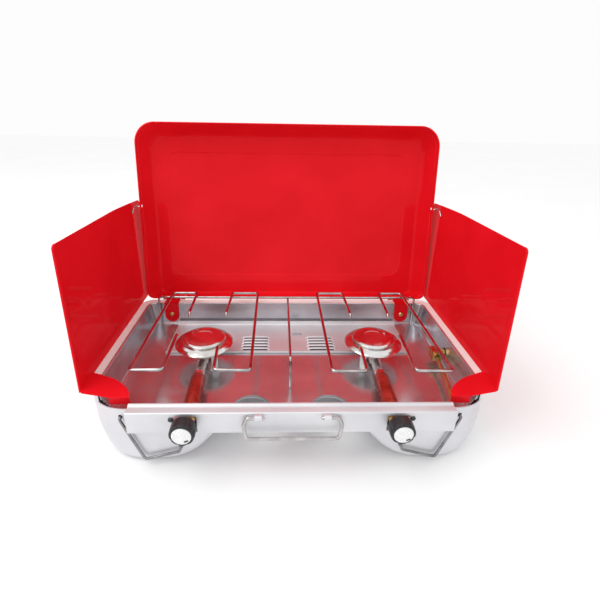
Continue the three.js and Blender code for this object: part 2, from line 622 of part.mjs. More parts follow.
// ---- lid hinges: a leaf on the tray, a leaf on the lid and a pin ----
const KNUCKLE = 3.2;
const PIN = 1.5;
const KNUCKLE_BORE = 1.8;
const LEAF_HALF = 13;
const LEAF_LOW = -36;
const LID_LEAF_HALF = 21;
for (const [name, side] of SIDES) {
  const x = side * LEAF_X;
  const [x0, x1] = [x - LEAF_HALF, x + LEAF_HALF];
  let leaf = join(
    strip([[137.4, LEAF_LOW], [138.6, LEAF_LOW], [140.9, GAP], [HINGE_Y, GAP], [HINGE_Y, GAP + 1.4],
      [139.7, GAP + 1.4]], x0, x1),
    bar(KNUCKLE, x0, x1, 12, [0, HINGE_Y, HINGE_Z], 'x'));
  const rounded = join(
    block(x0 - 1, x1 + 1, 130, 175, LEAF_LOW + LEAF_HALF, 20),
    bar(LEAF_HALF, -175, -130, 20, [x, 0, LEAF_LOW + LEAF_HALF], '-y'));
  leaf = cut(leaf.intersect(rounded), bar(KNUCKLE_BORE, x0 - 2, x1 + 2, 10, [0, HINGE_Y, HINGE_Z], 'x'));
  leaf = cut(leaf, bar(1.9, -170, -120, 12, [x, 0, LEAF_RIVET_Z], '-y'));
  add(`hinge_leaf_${name}`, leaf, RED);
  const rivet = join(
    turned([[0, 0], [4.2, 0], [3.6, 1.4], [1.8, 2.1], [0, 2.1]], 16, [x, 138, LEAF_RIVET_Z], '-y'),
    bar(1.5, -6, 1, 10, [x, 138, LEAF_RIVET_Z], '-y'));
  add(`hinge_rivet_${name}`, rivet, BRASS);
  const pin = join(
    bar(PIN, x - LID_LEAF_HALF - 1.5, x + LID_LEAF_HALF + 1.5, 12, [0, HINGE_Y, HINGE_Z], 'x'),
    ...[-1, 1].map((end) => {
      const at = x + end * (LID_LEAF_HALF + 1.2);
      return bar(2.6, at - 0.8, at + 0.8, 12, [0, HINGE_Y, HINGE_Z], 'x');
    }));
  add(`hinge_pin_${name}`, pin, STEEL);

  const ears = [-1, 1].map((end) => {
    const inner = x + end * (LEAF_HALF + GAP);
    const outer = x + end * LID_LEAF_HALF;
    const [a, b] = [Math.min(inner, outer), Math.max(inner, outer)];
    const arm = strip([
      [LID_START - 1.6, -0.4], [-2, -0.4], [-2.4, -2.6],
      [LID_START - 0.4, -4.3], [LID_START - 0.4, -6], [LID_START - 1.6, -6],
    ], a, b);
    return join(arm, bar(KNUCKLE, a, b, 12, [0, 0, 0], 'x'));
  });
  const depths = [4.6, 12, 20, 26];
  const web = strip([
    ...depths.map((d) => [wallAt(d) - 0.4, -d]), ...depths.toReversed().map((d) => [wallAt(d) - 1.6, -d]),
  ], x - LID_LEAF_HALF, x + LID_LEAF_HALF);
  let lidLeaf = join(web, ...ears);
  lidLeaf = cut(lidLeaf, bar(KNUCKLE_BORE, x - 30, x + 30, 10, [0, 0, 0], 'x'));
  add(`lid_hinge_leaf_${name}`, lidLeaf, RED, lidGroup);
}

// ---- lid lugs: a riveted tongue on the hinge-side wall each side of the middle ----
const LUG_X = { left: -79, right: 82 };
const LUG_HALF = 17;
for (const [name] of SIDES) {
  const x = LUG_X[name];
  const rise = LID_SHEET + GAP;
  const lift = (w) => wallAt(Math.max(-w, 0)) + rise;
  const tongue = strip([
    [lift(3), 3], [lift(3) + LID_SHEET, 3], [lift(0) + LID_SHEET, 0],
    [lift(-10) + LID_SHEET, -10], [lift(-10), -10], [lift(0), 0],
  ], x - LUG_HALF, x + LUG_HALF);
  const round = join(
    block(x - LUG_HALF + 6, x + LUG_HALF - 6, -10, 10, -12, 5),
    ...[-1, 1].map((end) => bar(6.5, -10, 10, 20, [x + end * (LUG_HALF - 6.5), 0, -3.5], '-y')));
  add(`lid_lug_${name}`, tongue.intersect(round), RED, lidGroup);
  for (const [where, end] of [['outer', -1], ['inner', 1]]) {
    const head = turned([[0, 0], [2.6, 0], [2.2, 0.9], [1.1, 1.4], [0, 1.4]], 12,
      [x + end * 8, lift(-5) + LID_SHEET + GAP, -3.5], 'y');
    add(`lug_rivet_${name}_${where}`, head, STEEL, lidGroup);
  }
}

// ---- wind shields: a plate with a hemmed front edge, and a foot over the front corner ----
const FOOT_Z = BEAD + GAP;
for (const [name, side] of SIDES) {
  const face = [
    [-121, 0], [166, 0], [175, 6], [220, 168], [215, 176], [150, 183], [60, 187], [-94, 190], [-98, 187],
  ].map(([a, b]) => new THREE.Vector2(a, b));
  const hemFace = [
    [-121, 0], [-113, 0], [-90, 190], [-94, 190], [-98, 187],
  ].map(([a, b]) => new THREE.Vector2(a, b));
  const stand = new THREE.Matrix4().makeBasis(
    new THREE.Vector3(0, 1, 0),
    new THREE.Vector3(Math.sin(SHIELD_SPLAY), 0, Math.cos(SHIELD_SPLAY)),
    new THREE.Vector3(Math.cos(SHIELD_SPLAY), 0, -Math.sin(SHIELD_SPLAY)));
  stand.setPosition(SHIELD_X, 0, GAP);
  const foot = [
    [272.6, -80], [262, -84], [253, -88], [243, -92], [232, -98.6], [222, -107], [214, -115.6], [208.5, -124],
    [206, -133.6], [231, -133.6], [268.5, -125], [273.2, -121],
  ].map(([a, b]) => new THREE.Vector2(a, b));
  const shield = join(
    plate(face, 0, SHEET).transform(stand.toArray()),
    plate(hemFace, -0.7, SHEET + 0.7).transform(stand.toArray()),
    plate(foot, FOOT_Z, FOOT_Z + 1.2),
    block(206, 231, -133.6, -132.4, -8.4, FOOT_Z + 1.2));
  add(`wind_shield_${name}`, onSide(side, shield), RED);
  const reach = SHIELD_X + HOOK_V * Math.sin(SHIELD_SPLAY);
  const hook = wire([
    [reach - 1.4, 166, HOOK_V - 6], [reach - 1.4, 176, HOOK_V + 2],
    [271.4, 184, HOOK_V + 4], [271.4, 196, HOOK_V],
  ], 1.1, 4, 6, 2);
  add(`shield_hook_${name}`, onSide(side, hook), CHROME);
}

// ---- the origin is the centre of the bounding box's base ----
stove.updateMatrixWorld(true);
const bounds = new THREE.Box3().setFromObject(stove, true);
stove.position.set(-(bounds.min.x + bounds.max.x) / 2, -(bounds.min.y + bounds.max.y) / 2, -bounds.min.z);

export default stove;
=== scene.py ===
import json
import math

import bmesh
import bpy
from mathutils import Matrix, Vector


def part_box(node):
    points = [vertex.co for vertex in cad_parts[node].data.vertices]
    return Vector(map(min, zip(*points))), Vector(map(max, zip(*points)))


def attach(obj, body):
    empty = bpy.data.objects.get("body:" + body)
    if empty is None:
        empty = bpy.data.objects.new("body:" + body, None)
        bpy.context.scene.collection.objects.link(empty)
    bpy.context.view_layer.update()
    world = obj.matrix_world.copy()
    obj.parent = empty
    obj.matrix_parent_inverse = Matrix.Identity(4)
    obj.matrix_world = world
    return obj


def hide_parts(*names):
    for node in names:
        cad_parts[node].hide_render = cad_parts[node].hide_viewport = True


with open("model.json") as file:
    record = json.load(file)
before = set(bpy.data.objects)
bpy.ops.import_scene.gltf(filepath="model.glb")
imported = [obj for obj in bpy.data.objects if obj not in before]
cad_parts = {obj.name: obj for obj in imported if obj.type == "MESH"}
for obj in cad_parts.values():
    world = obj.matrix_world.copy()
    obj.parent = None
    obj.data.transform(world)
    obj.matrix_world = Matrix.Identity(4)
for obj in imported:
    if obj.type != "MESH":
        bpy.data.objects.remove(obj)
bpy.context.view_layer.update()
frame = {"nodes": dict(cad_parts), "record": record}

# ---- the frame: where the CAD model puts things ----
MM = 0.001
RIM_HALF_DEPTH = 160
RIM_HEIGHT = 90
RIM = Vector((0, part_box("drip_tray")[1].y / MM - RIM_HALF_DEPTH, RIM_HEIGHT))
BODIES = frame["record"]["behaviour"]["bodies"]
BODY_OF = {node: body for body, nodes in BODIES.items() for node in nodes}
SLOT_OF = {part["node"]: part["material_slot"] for part in frame["record"]["subparts"]}
SIDES = (("left", -1), ("right", 1))


def at(point):
    """A point given in millimetres from the rim's centre, in the row frame in metres."""
    return (RIM + Vector(point)) * MM


# ---- driving dimensions, the same as the CAD model's ----
SHEET = 1.3                      # the lid's
RIM_X = 275
TRAY_X = 256.4
TRAY_FRONT = -145
TRAY_REAR = 141.4
TRAY_DEPTH = 40
TRAY_SHEET = 1.2
TRAY_CUT_Y = -123                # in front of this the tray is lowered under the shields' feet
FRONT_CORNER = 84
REAR_CORNER = 24
GROUND = -90
CASE_X = 272
CASE_FRONT = -150.5
CASE_REAR = 158.5
PANEL_X = 203
PANEL_FACE = -162.5
PANEL_HEIGHT = 30
PANEL_SHEET = 1.4
PANEL_SCREW = (148, -8)          # as (x, z)
BURNER = (137, 18)
KNOB = (131, -146, -13)
VENT = (55, -104, 27)            # an air hole's centre and radius
INLET = (240, 8, -24)
INLET_HOLE = 9                   # radius
WIRE = 2.3                       # radius of a pan support's wire
LID_X = 269.5
LID_LENGTH = 313
LID_DEPTH = 38
LID_CORNER = 36
LID_START = -4.2
HINGE = (163, 4.5)               # the lid's axis, as (y, z)
HINGE_X = 218
HINGE_RIVET_Z = -20
LID_LEAN = math.radians(9.4)
SHIELD_X = 272
SHIELD_SPLAY = math.radians(1.5)
SHIELD_SHEET = 1.2
WIRE_EYE = (215, -17)            # holes for the ends of a corner wire, as (x, z)
WIRE_TAIL = (143, -62)


# ---- materials ----
class Look:
    """A procedural material: a Principled shader fed by noise in the piece's own space."""

    def __init__(self, name, metallic, roughness, coat=0.0):
        self.material = bpy.data.materials.new(name)
        self.material.use_nodes = True
        self.tree = self.material.node_tree
        self.shader = self.tree.nodes["Principled BSDF"]
        self.shader.inputs["Metallic"].default_value = metallic
        self.shader.inputs["Roughness"].default_value = roughness
        self.shader.inputs["Coat Weight"].default_value = coat
        self.shader.inputs["Coat Roughness"].default_value = 0.06
        self.place = self.tree.nodes.new("ShaderNodeTexCoord")
        self.last_normal = None

    def node(self, kind):
        return self.tree.nodes.new(kind)

    def noise(self, scale, stretch=(1, 1, 1), detail=4.0, distortion=0.0):
        mapping = self.node("ShaderNodeMapping")
        mapping.inputs["Scale"].default_value = stretch
        self.tree.links.new(self.place.outputs["Object"], mapping.inputs["Vector"])
        made = self.node("ShaderNodeTexNoise")
        made.inputs["Scale"].default_value = scale
        made.inputs["Detail"].default_value = detail
        made.inputs["Distortion"].default_value = distortion
        self.tree.links.new(mapping.outputs["Vector"], made.inputs["Vector"])
        return made.outputs["Fac"]

    def colour(self, source, *stops):
        """Base colour by a ramp: stops are (position, (r, g, b))."""
        ramp = self.node("ShaderNodeValToRGB")
        while len(ramp.color_ramp.elements) < len(stops):
            ramp.color_ramp.elements.new(0.5)
        for element, (position, rgb) in zip(ramp.color_ramp.elements, stops):
            element.position = position
            element.color = (*rgb, 1)
        self.tree.links.new(source, ramp.inputs["Fac"])
        self.tree.links.new(ramp.outputs["Color"], self.shader.inputs["Base Color"])
        return self

    def rough(self, source, low, high):
        spread = self.node("ShaderNodeMapRange")
        spread.inputs["From Min"].default_value = 0.3
        spread.inputs["From Max"].default_value = 0.7
        spread.inputs["To Min"].default_value = low
        spread.inputs["To Max"].default_value = high
        self.tree.links.new(source, spread.inputs["Value"])
        self.tree.links.new(spread.outputs["Result"], self.shader.inputs["Roughness"])
        return self

    def bump(self, source, distance, strength=1.0):
        made = self.node("ShaderNodeBump")
        made.inputs["Distance"].default_value = distance
        made.inputs["Strength"].default_value = strength
        self.tree.links.new(source, made.inputs["Height"])
        if self.last_normal:
            self.tree.links.new(self.last_normal, made.inputs["Normal"])
        self.last_normal = made.outputs["Normal"]
        self.tree.links.new(self.last_normal, self.shader.inputs["Normal"])
        return self


def red_enamel():
    look = Look("red_enamel", 0.0, 0.3, coat=0.16)
    look.shader.inputs["Specular IOR Level"].default_value = 0.0
    look.colour(look.noise(9, detail=6), (0.3, (0.72, 0.007, 0.013)), (0.7, (0.82, 0.011, 0.020)))
    look.rough(look.noise(60), 0.22, 0.36)
    look.bump(look.noise(220, detail=2), 0.00004)
    return look.bump(look.noise(12, detail=1), 0.0008, 0.6)


def pressed_aluminium():
    look = Look("pressed_aluminium", 0.6, 0.45)
    look.shader.inputs["Anisotropic"].default_value = 0.3
    look.colour(look.noise(14, detail=5), (0.3, (0.66, 0.66, 0.69)), (0.7, (0.77, 0.77, 0.79)))
    look.rough(look.noise(70, (0.08, 1, 1), 8), 0.38, 0.52)
    look.bump(look.noise(900, (0.03, 1, 1), 3), 0.00002, 0.7)
    return look.bump(look.noise(10, detail=1), 0.0006, 0.35)


def polished_tray():
    look = Look("polished_tray", 0.85, 0.24)
    look.colour(look.noise(18, detail=6), (0.3, (0.52, 0.52, 0.55)), (0.7, (0.66, 0.65, 0.68)))
    look.rough(look.noise(50, (0.15, 1, 1), 8), 0.15, 0.26)
    look.bump(look.noise(700, (0.04, 1, 1), 3), 0.00001, 0.6)
    return look.bump(look.noise(16, detail=2), 0.0007, 0.4)


# Painted light: the base colour is tinted cyan-white to cancel the red light the shields bounce onto the
# ledge and bracket.
def satin_rim():
    look = Look("satin_rim", 0.0, 0.4)
    look.colour(look.noise(30, detail=6), (0.3, (0.90, 0.97, 0.94)), (0.7, (0.94, 1.0, 0.97)))
    look.rough(look.noise(90, (0.1, 1, 1), 6), 0.34, 0.5)
    return look.bump(look.noise(600, (0.05, 1, 1), 3), 0.00002, 0.6)


def dark_screw():
    look = Look("dark_screw", 0.8, 0.35)
    look.colour(look.noise(150, detail=5), (0.3, (0.05, 0.05, 0.055)), (0.7, (0.12, 0.12, 0.13)))
    look.rough(look.noise(240), 0.28, 0.44)
    return look.bump(look.noise(900, detail=3), 0.00003, 0.6)


def chrome_wire():
    look = Look("chrome_wire", 1.0, 0.08)
    look.colour(look.noise(60, detail=4), (0.35, (0.42, 0.40, 0.40)), (0.65, (0.60, 0.58, 0.58)))
    look.rough(look.noise(160), 0.05, 0.16)
    return look.bump(look.noise(500, detail=2), 0.00002, 0.6)


# Painted shade: chrome wire whose base colour is darkened to stand in for the shade and dark reflections
# the corner wires show.
def shade_darkened_wire():
    look = Look("shade_darkened_wire", 1.0, 0.16)
    look.colour(look.noise(60, detail=4), (0.35, (0.20, 0.19, 0.20)), (0.65, (0.34, 0.33, 0.34)))
    look.rough(look.noise(160), 0.10, 0.22)
    return look.bump(look.noise(500, detail=2), 0.00002, 0.6)


def chrome_burner():
    look = Look("chrome_burner", 1.0, 0.14)
    tint = ((0.30, (0.60, 0.55, 0.50)), (0.5, (0.76, 0.74, 0.72)), (0.7, (0.80, 0.80, 0.82)))
    look.colour(look.noise(26, detail=7, distortion=0.6), *tint)
    look.rough(look.noise(80), 0.09, 0.24)
    return look.bump(look.noise(140, detail=3), 0.00006, 0.6)


def cast_alloy():
    look = Look("cast_alloy", 0.85, 0.45)
    look.colour(look.noise(120, detail=6), (0.3, (0.68, 0.66, 0.62)), (0.7, (0.84, 0.82, 0.78)))
    look.rough(look.noise(200), 0.36, 0.58)
    return look.bump(look.noise(420, detail=5), 0.00018)


# Painted reflection: the deep red base colour stands in for the red lid reflected in the sleeve's metal.
def tinted_sleeve():
    look = Look("tinted_sleeve", 0.75, 0.3, coat=0.3)
    look.colour(look.noise(50, detail=6), (0.3, (0.30, 0.03, 0.02)), (0.7, (0.52, 0.07, 0.04)))
    look.rough(look.noise(110), 0.22, 0.42)
    return look.bump(look.noise(300, detail=3), 0.00005)


def brass():
    look = Look("brass", 1.0, 0.28)
    look.colour(look.noise(70, detail=6), (0.3, (0.52, 0.35, 0.12)), (0.7, (0.74, 0.55, 0.24)))
    look.rough(look.noise(130), 0.2, 0.4)
    return look.bump(look.noise(600, (1, 0.1, 1), 3), 0.00003, 0.7)


def steel_fastener():
    look = Look("steel_fastener", 1.0, 0.26)
    look.colour(look.noise(90, detail=5), (0.3, (0.50, 0.50, 0.52)), (0.7, (0.70, 0.70, 0.72)))
    look.rough(look.noise(180), 0.2, 0.36)
    return look.bump(look.noise(700, detail=3), 0.00003, 0.7)


def black_knob():
    look = Look("black_knob", 0.0, 0.38)
    look.colour(look.noise(200, detail=6), (0.3, (0.006, 0.006, 0.007)), (0.7, (0.016, 0.016, 0.018)))
    look.rough(look.noise(260), 0.3, 0.5)
    return look.bump(look.noise(1400, detail=4), 0.00005)


def silver_insert():
    look = Look("silver_insert", 0.35, 0.3, coat=0.5)
    look.colour(look.noise(150, detail=5), (0.3, (0.78, 0.78, 0.79)), (0.7, (0.88, 0.88, 0.89)))
    look.rough(look.noise(240), 0.24, 0.36)
    return look.bump(look.noise(900, (0.05, 1, 1), 3), 0.00002, 0.6)


LOOKS = {
    make.__name__: make().material
    for make in (
        red_enamel, pressed_aluminium, polished_tray, satin_rim, dark_screw, chrome_wire, shade_darkened_wire,
        chrome_burner, cast_alloy, tinted_sleeve, brass, steel_fastener, black_knob, silver_insert,
    )
}


# ---- mesh building ----
class Shape:
    """Points and faces of one piece, in millimetres from the rim's centre."""

    def __init__(self):
        self.points = []
        self.faces = []

    def skin(self, rings, closed=True, start=True, end=True):
        """A skin through rings of equal length.

        closed joins each ring's ends, and start and end cap the skin.
        """
        first = len(self.points)
        count = len(rings[0])
        for ring in rings:
            self.points.extend(Vector(p) for p in ring)
        spans = count if closed else count - 1
        for row in range(len(rings) - 1):
            for i in range(spans):
                a = first + row * count + i
                b = first + row * count + (i + 1) % count
                self.faces.append((a, b, b + count, a + count))
        last = first + (len(rings) - 1) * count
        if start:
            self.faces.append(tuple(range(first + count - 1, first - 1, -1)))
        if end:
            self.faces.append(tuple(range(last, last + count)))
        return self

    def sheet(self, face, back):
        """A sheet between two grids of points, with its four edges closed."""
        edges = (
            (face[0], back[0]), (face[-1], back[-1]),
            ([r[0] for r in face], [r[0] for r in back]), ([r[-1] for r in face], [r[-1] for r in back]),
        )
        for rows in (face, back, *edges):
            self.skin(rows, closed=False, start=False, end=False)
        return self

    def moved(self, matrix):
        self.points = [matrix @ p for p in self.points]
        return self


MIRROR = Matrix.Scale(-1, 4, (1, 0, 0))


def on_side(shape, side):
    return shape.moved(MIRROR) if side < 0 else shape


def mesh_of(name, shape):
    """A clean mesh in the row frame: doubles merged and faces turned outwards."""
    mesh = bpy.data.meshes.new(name)
    mesh.from_pydata([at(p) for p in shape.points], [], shape.faces)
    bm = bmesh.new()
    bm.from_mesh(mesh)
    bmesh.ops.remove_doubles(bm, verts=bm.verts, dist=1e-6)
    bmesh.ops.recalc_face_normals(bm, faces=bm.faces)
    bm.to_mesh(mesh)
    bm.free()
    return mesh


def shaded(mesh, sharp=38):
    """Smooth faces, with the edges over the sharp angle kept crisp."""
    bm = bmesh.new()
    bm.from_mesh(mesh)
    limit = math.radians(sharp)
    for face in bm.faces:
        face.smooth = True
    for edge in bm.edges:
        edge.smooth = len(edge.link_faces) == 2 and edge.calc_face_angle(0) < limit
    bm.to_mesh(mesh)
    bm.free()


def bevelled(mesh, width, over=40, segments=2):
    """Rounds every edge over the given angle, after clearing the triangulation of flat faces."""
    bm = bmesh.new()
    bm.from_mesh(mesh)
    bmesh.ops.remove_doubles(bm, verts=bm.verts, dist=2e-6)
    bmesh.ops.dissolve_limit(bm, angle_limit=math.radians(0.6), verts=bm.verts, edges=bm.edges)
    limit = math.radians(over)
    edges = [e for e in bm.edges if len(e.link_faces) == 2 and e.calc_face_angle(0) > limit]
    bmesh.ops.bevel(
        bm, geom=edges, offset=width * MM, segments=segments, profile=0.5, affect="EDGES",
        clamp_overlap=True)
    bm.to_mesh(mesh)
    bm.free()


def carved(mesh, *cutters):
    """The mesh with each cutter shape taken away."""
    host = bpy.data.objects.new("carving", mesh)
    bpy.context.scene.collection.objects.link(host)
    tools = []
    for i, cutter in enumerate(cutters):
        tool = bpy.data.objects.new(f"cutter_{i}", mesh_of("cutter", cutter))
        bpy.context.scene.collection.objects.link(tool)
        tools.append(tool)
        step = host.modifiers.new("cut", "BOOLEAN")
        step.operation = "DIFFERENCE"
        step.solver = "EXACT"
        step.object = tool
    graph = bpy.context.evaluated_depsgraph_get()
    result = bpy.data.meshes.new_from_object(host.evaluated_get(graph))
    for unwanted in (host, *tools):
        bpy.data.objects.remove(unwanted)
    return result


def piece(name, mesh, *stands_for, sharp=38, weighted=False, look=None):
    """Puts a mesh in the scene as a piece that stands for CAD nodes and rides on their body."""
    first = stands_for[0]
    shaded(mesh, sharp)
    made = bpy.data.objects.new(name, mesh)
    bpy.context.scene.collection.objects.link(made)
    mesh.materials.clear()
    mesh.materials.append(LOOKS[look or SLOT_OF[first]])
    if weighted:
        normals = made.modifiers.new("normals", "WEIGHTED_NORMAL")
        normals.keep_sharp = True
    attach(made, BODY_OF[first])
    return made


def replace(name, mesh, *nodes, **how):
    made = piece(name, mesh, *nodes, **how)
    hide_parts(*nodes)
    return made


def refined(node, bevel, over=40, sharp=50, look=None):
    """A CAD node's own shape with its flat faces cleaned and its edges rounded."""
    mesh = frame["nodes"][node].data.copy()
    mesh.name = f"{node}_fine"
    if mesh.has_custom_normals:
        mesh.attributes.remove(mesh.attributes["custom_normal"])
    bevelled(mesh, bevel, over)
    return replace(f"{node}_fine", mesh, node, sharp=sharp, weighted=True, look=look)


# ---- curves and sections ----
def fillet(points, radius, steps=5, closed=False):
    """A polyline with its corners rounded."""
    points = [Vector(p) for p in points]
    n = len(points)
    made = []
    for i, here in enumerate(points):
        if not closed and i in (0, n - 1):
            made.append(here)
            continue
        back = points[i - 1] - here
        ahead = points[(i + 1) % n] - here
        turn = math.pi - back.angle(ahead)
        if turn < 0.02:
            made.append(here)
            continue
        reach = min(radius * math.tan(turn / 2), back.length * 0.48, ahead.length * 0.48)
        start = here + back.normalized() * reach
        end = here + ahead.normalized() * reach
        for k in range(steps + 1):
            t = k / steps
            made.append(start * (1 - t) ** 2 + here * 2 * t * (1 - t) + end * t * t)
    return made


def tube(corners, radius, bend=6, sides=20, bend_steps=9):
    """Round wire along its corners, with domed ends."""
    path = fillet(corners, bend, bend_steps)
    first = (path[1] - path[0]).normalized()
    last = (path[-1] - path[-2]).normalized()
    across = first.orthogonal().normalized()
    rings = []

    def ring(centre, along, size):
        nonlocal across
        across = (across - along * across.dot(along)).normalized()
        up = along.cross(across)
        turns = [2 * math.pi * i / sides for i in range(sides)]
        return [centre + (across * math.cos(a) + up * math.sin(a)) * size for a in turns]

    dome = [math.radians(a) for a in (80, 60, 40, 20)]
    for a in dome:
        rings.append(ring(path[0] + first * radius * (1 - math.sin(a)), first, radius * math.cos(a)))
    for before, here, after in zip(path, path[1:], path[2:]):
        along = ((after - here).normalized() + (here - before).normalized()).normalized()
        rings.append(ring(here, along, radius))
    for a in reversed(dome):
        rings.append(ring(path[-1] - last * radius * (1 - math.sin(a)), last, radius * math.cos(a)))
    return Shape().skin(rings)


AXES = {                         # a turning axis, and two directions across it
    "z": (Vector((0, 0, 1)), Vector((1, 0, 0)), Vector((0, 1, 0))),
    "-y": (Vector((0, -1, 0)), Vector((1, 0, 0)), Vector((0, 0, 1))),
    "x": (Vector((1, 0, 0)), Vector((0, 1, 0)), Vector((0, 0, 1))),
}


def turned(profile, centre, axis="z", steps=72, corner=0.4, corner_steps=3):
    """A turned piece: the profile is (radius, distance along the axis), with its corners rounded.

    The axis is a name from AXES, or a tuple like the ones in it.
    """
    outline = fillet([(r, h, 0) for r, h in profile], corner, corner_steps)
    along, u, v = AXES[axis] if isinstance(axis, str) else axis
    centre = Vector(centre)
    rings = []
    for r, h, _ in outline:
        r = max(r, 0.01)
        turns = [2 * math.pi * i / steps for i in range(steps)]
        rings.append([centre + along * h + (u * math.cos(a) + v * math.sin(a)) * r for a in turns])
    return Shape().skin(rings)


def block(x0, x1, y0, y1, z0, z1):
    corners = [(x0, y0), (x1, y0), (x1, y1), (x0, y1)]
    return Shape().skin([[(x, y, z) for x, y in corners] for z in (z0, z1)])


def plan(half_x, front, rear, front_radius, rear_radius, z, steps=14):
    """A rounded rectangle at height z, with its own front and rear corner radii."""
    corners = (
        (half_x - front_radius, front + front_radius, front_radius, -90),
        (half_x - rear_radius, rear - rear_radius, rear_radius, 0),
        (rear_radius - half_x, rear - rear_radius, rear_radius, 90),
        (front_radius - half_x, front + front_radius, front_radius, 180),
    )
    ring = []
    for cx, cy, r, start in corners:
        for i in range(steps + 1):
            a = math.radians(start + 90 * i / steps)
            ring.append(Vector((cx + r * math.cos(a), cy + r * math.sin(a), z)))
    return ring


def plate(outline, z0, z1):
    return Shape().skin([[(x, y, z) for x, y in outline] for z in (z0, z1)])


def rod(radius, start, end, centre, axis, steps):
    """A round cutter between two distances along its axis."""
    return turned([(0, start), (radius, start), (radius, end), (0, end)], centre, axis, steps)


def pan_holes():
    """Cutters for the openings that the tray and the case share: two air holes and the gas inlet."""
    x, y, radius = VENT
    holes = [rod(radius, -70, 0, (side * x, y, 0), "z", 64) for _, side in SIDES]
    return [*holes, rod(INLET_HOLE, 0, 80, (225, INLET[1], INLET[2]), "x", 40)]


# ---- lid ----
# stands up a lid that is drawn flat, with Y running from the hinge to the free edge
LID_FRAME = Matrix.Translation((0, *HINGE)) @ Matrix.Rotation(math.pi / 2 - LID_LEAN, 4, "X")
# half width, hinge edge, free edge and corner radius of the raised panel
EMBOSS = (226, 34, 268, 22)
HOOK_V = 170                     # the hooks' holes, from the hinge towards the free edge
HINGE_DRAFT = 0.05


def lid_inset(depth):
    f = depth / LID_DEPTH
    return 11 * f + 7 * f * f


def lid_plan(inset, depth):
    """The lid in plan. The hinge-side wall is almost square, so the taper hardly moves it in."""
    taper = min(inset, lid_inset(depth))
    start = LID_START + taper * HINGE_DRAFT + (inset - taper)
    corners = (14 - inset * 0.2, LID_CORNER - inset * 0.4)
    return plan(LID_X - inset, start, LID_LENGTH - inset, *corners, -depth)


def lid():
    panel = LID_DEPTH - SHEET
    depths = [1.2, 4, 8, 14, 20, 26, 30, LID_DEPTH]
    walls = [(lid_inset(d), d) for d in depths] + [(34, LID_DEPTH)]
    outer = fillet([(i, d, 0) for i, d in walls], 9, 8)
    inner = fillet([(i + SHEET, min(d, panel), 0) for i, d in walls], 8, 8)
    hem = [
        (0.25, 0.5), (0.75, 0.08), (1.3, 0), (1.9, 0.1), (2.5, 0.6), (2.7, 1.4), (2.9, 6.2), (2.5, 7.2),
    ]
    half_x, low, high, corner = EMBOSS

    def embossed(step, depth):
        return plan(half_x - step, low + step, high - step, corner - step, corner - step, -depth)

    # from the raised panel's outside, down the walls, round the hem and back up to its inside
    rise = [(0, 0), (0.7, 0.12), (1.4, 0.5), (2.1, 1.0), (2.8, 1.2)]
    rings = [embossed(s, LID_DEPTH + r) for s, r in reversed(rise)]
    rings += [lid_plan(i, d) for i, d, _ in reversed(outer)]
    rings += [lid_plan(i, d) for i, d in hem]
    rings += [lid_plan(i, d) for i, d, _ in inner if d > 8]
    rings += [embossed(s + 0.6, panel + r) for s, r in rise]
    shape = Shape().skin(rings).moved(LID_FRAME)
    holes = [rod(2.4, -14, 14, (side * 268, HOOK_V, -6), "x", 24) for _, side in SIDES]
    notches = [block(x - 23.5, x + 23.5, -8, 4, -4.6, 3) for x in (-HINGE_X, HINGE_X)]
    cutters = [cutter.moved(LID_FRAME) for cutter in (*holes, *notches)]
    mesh = carved(mesh_of("lid_shell_fine", shape), *cutters)
    replace("lid_shell_fine", mesh, "lid_shell", sharp=55)


# ---- wind shields ----
SHIELD_WIDTH = 315
SHIELD_HEIGHT = 190
SHIELD_FRONT = -121
SHIELD_REAR = 180
SHIELD_LEAN = 23                 # how far the front edge leans back over the shield's height
REAR_SLOPE = 40 / 176            # how far the rear edge leans back for each millimetre up
HEM = 0.8                        # how much the folded front edge adds to each side
HEM_WIDTH = 8.2
SHIELD_FOOT = (                  # in plan, as (x, y)
    (272.6, -80), (262, -84), (253, -88), (243, -92), (232, -98.6), (222, -107), (214, -115.6),
    (208.5, -124), (206, -133.6), (231, -133.6), (268.5, -125), (273.2, -121),
)
RIBS = (                         # each rib's ends: along the shield (2), then up it (2)
    (-86, -31, 128, 104), (-98, -69, 118, 104), (-48, -46, 93, 92), (-98, -30, 96, 60),
    (-70, -68, 51, 50),
)


def shield_top(s):
    """The plate's height at a share s of its width."""
    round_front, round_rear = 6, 14
    slope_from = 0.55
    drop = 0.0
    from_front, from_rear = s * SHIELD_WIDTH, (1 - s) * SHIELD_WIDTH
    if from_front < round_front:
        drop = round_front - math.sqrt(round_front ** 2 - (round_front - from_front) ** 2)
    if from_rear < round_rear:
        drop = round_rear - math.sqrt(max(0, round_rear ** 2 - (round_rear - from_rear) ** 2))
    fall = 3 * min(s / slope_from, 1)
    return SHIELD_HEIGHT - fall - 9 * max(0, s - slope_from) ** 1.3 / 0.35 - drop


def rib_relief(a, b):
    """How far the pressed ribs stand out of the plate."""
    height, half_width = 1.5, 1.9
    out = 0.0
    for a0, a1, b0, b1 in RIBS:
        run, reach = Vector((a1 - a0, b1 - b0)), Vector((a - a0, b - b0))
        t = min(1, max(0, reach.dot(run) / run.length_squared))
        gap = (reach - run * t).length
        out = max(out, height * math.exp(-(gap / half_width) ** 2))
    return out


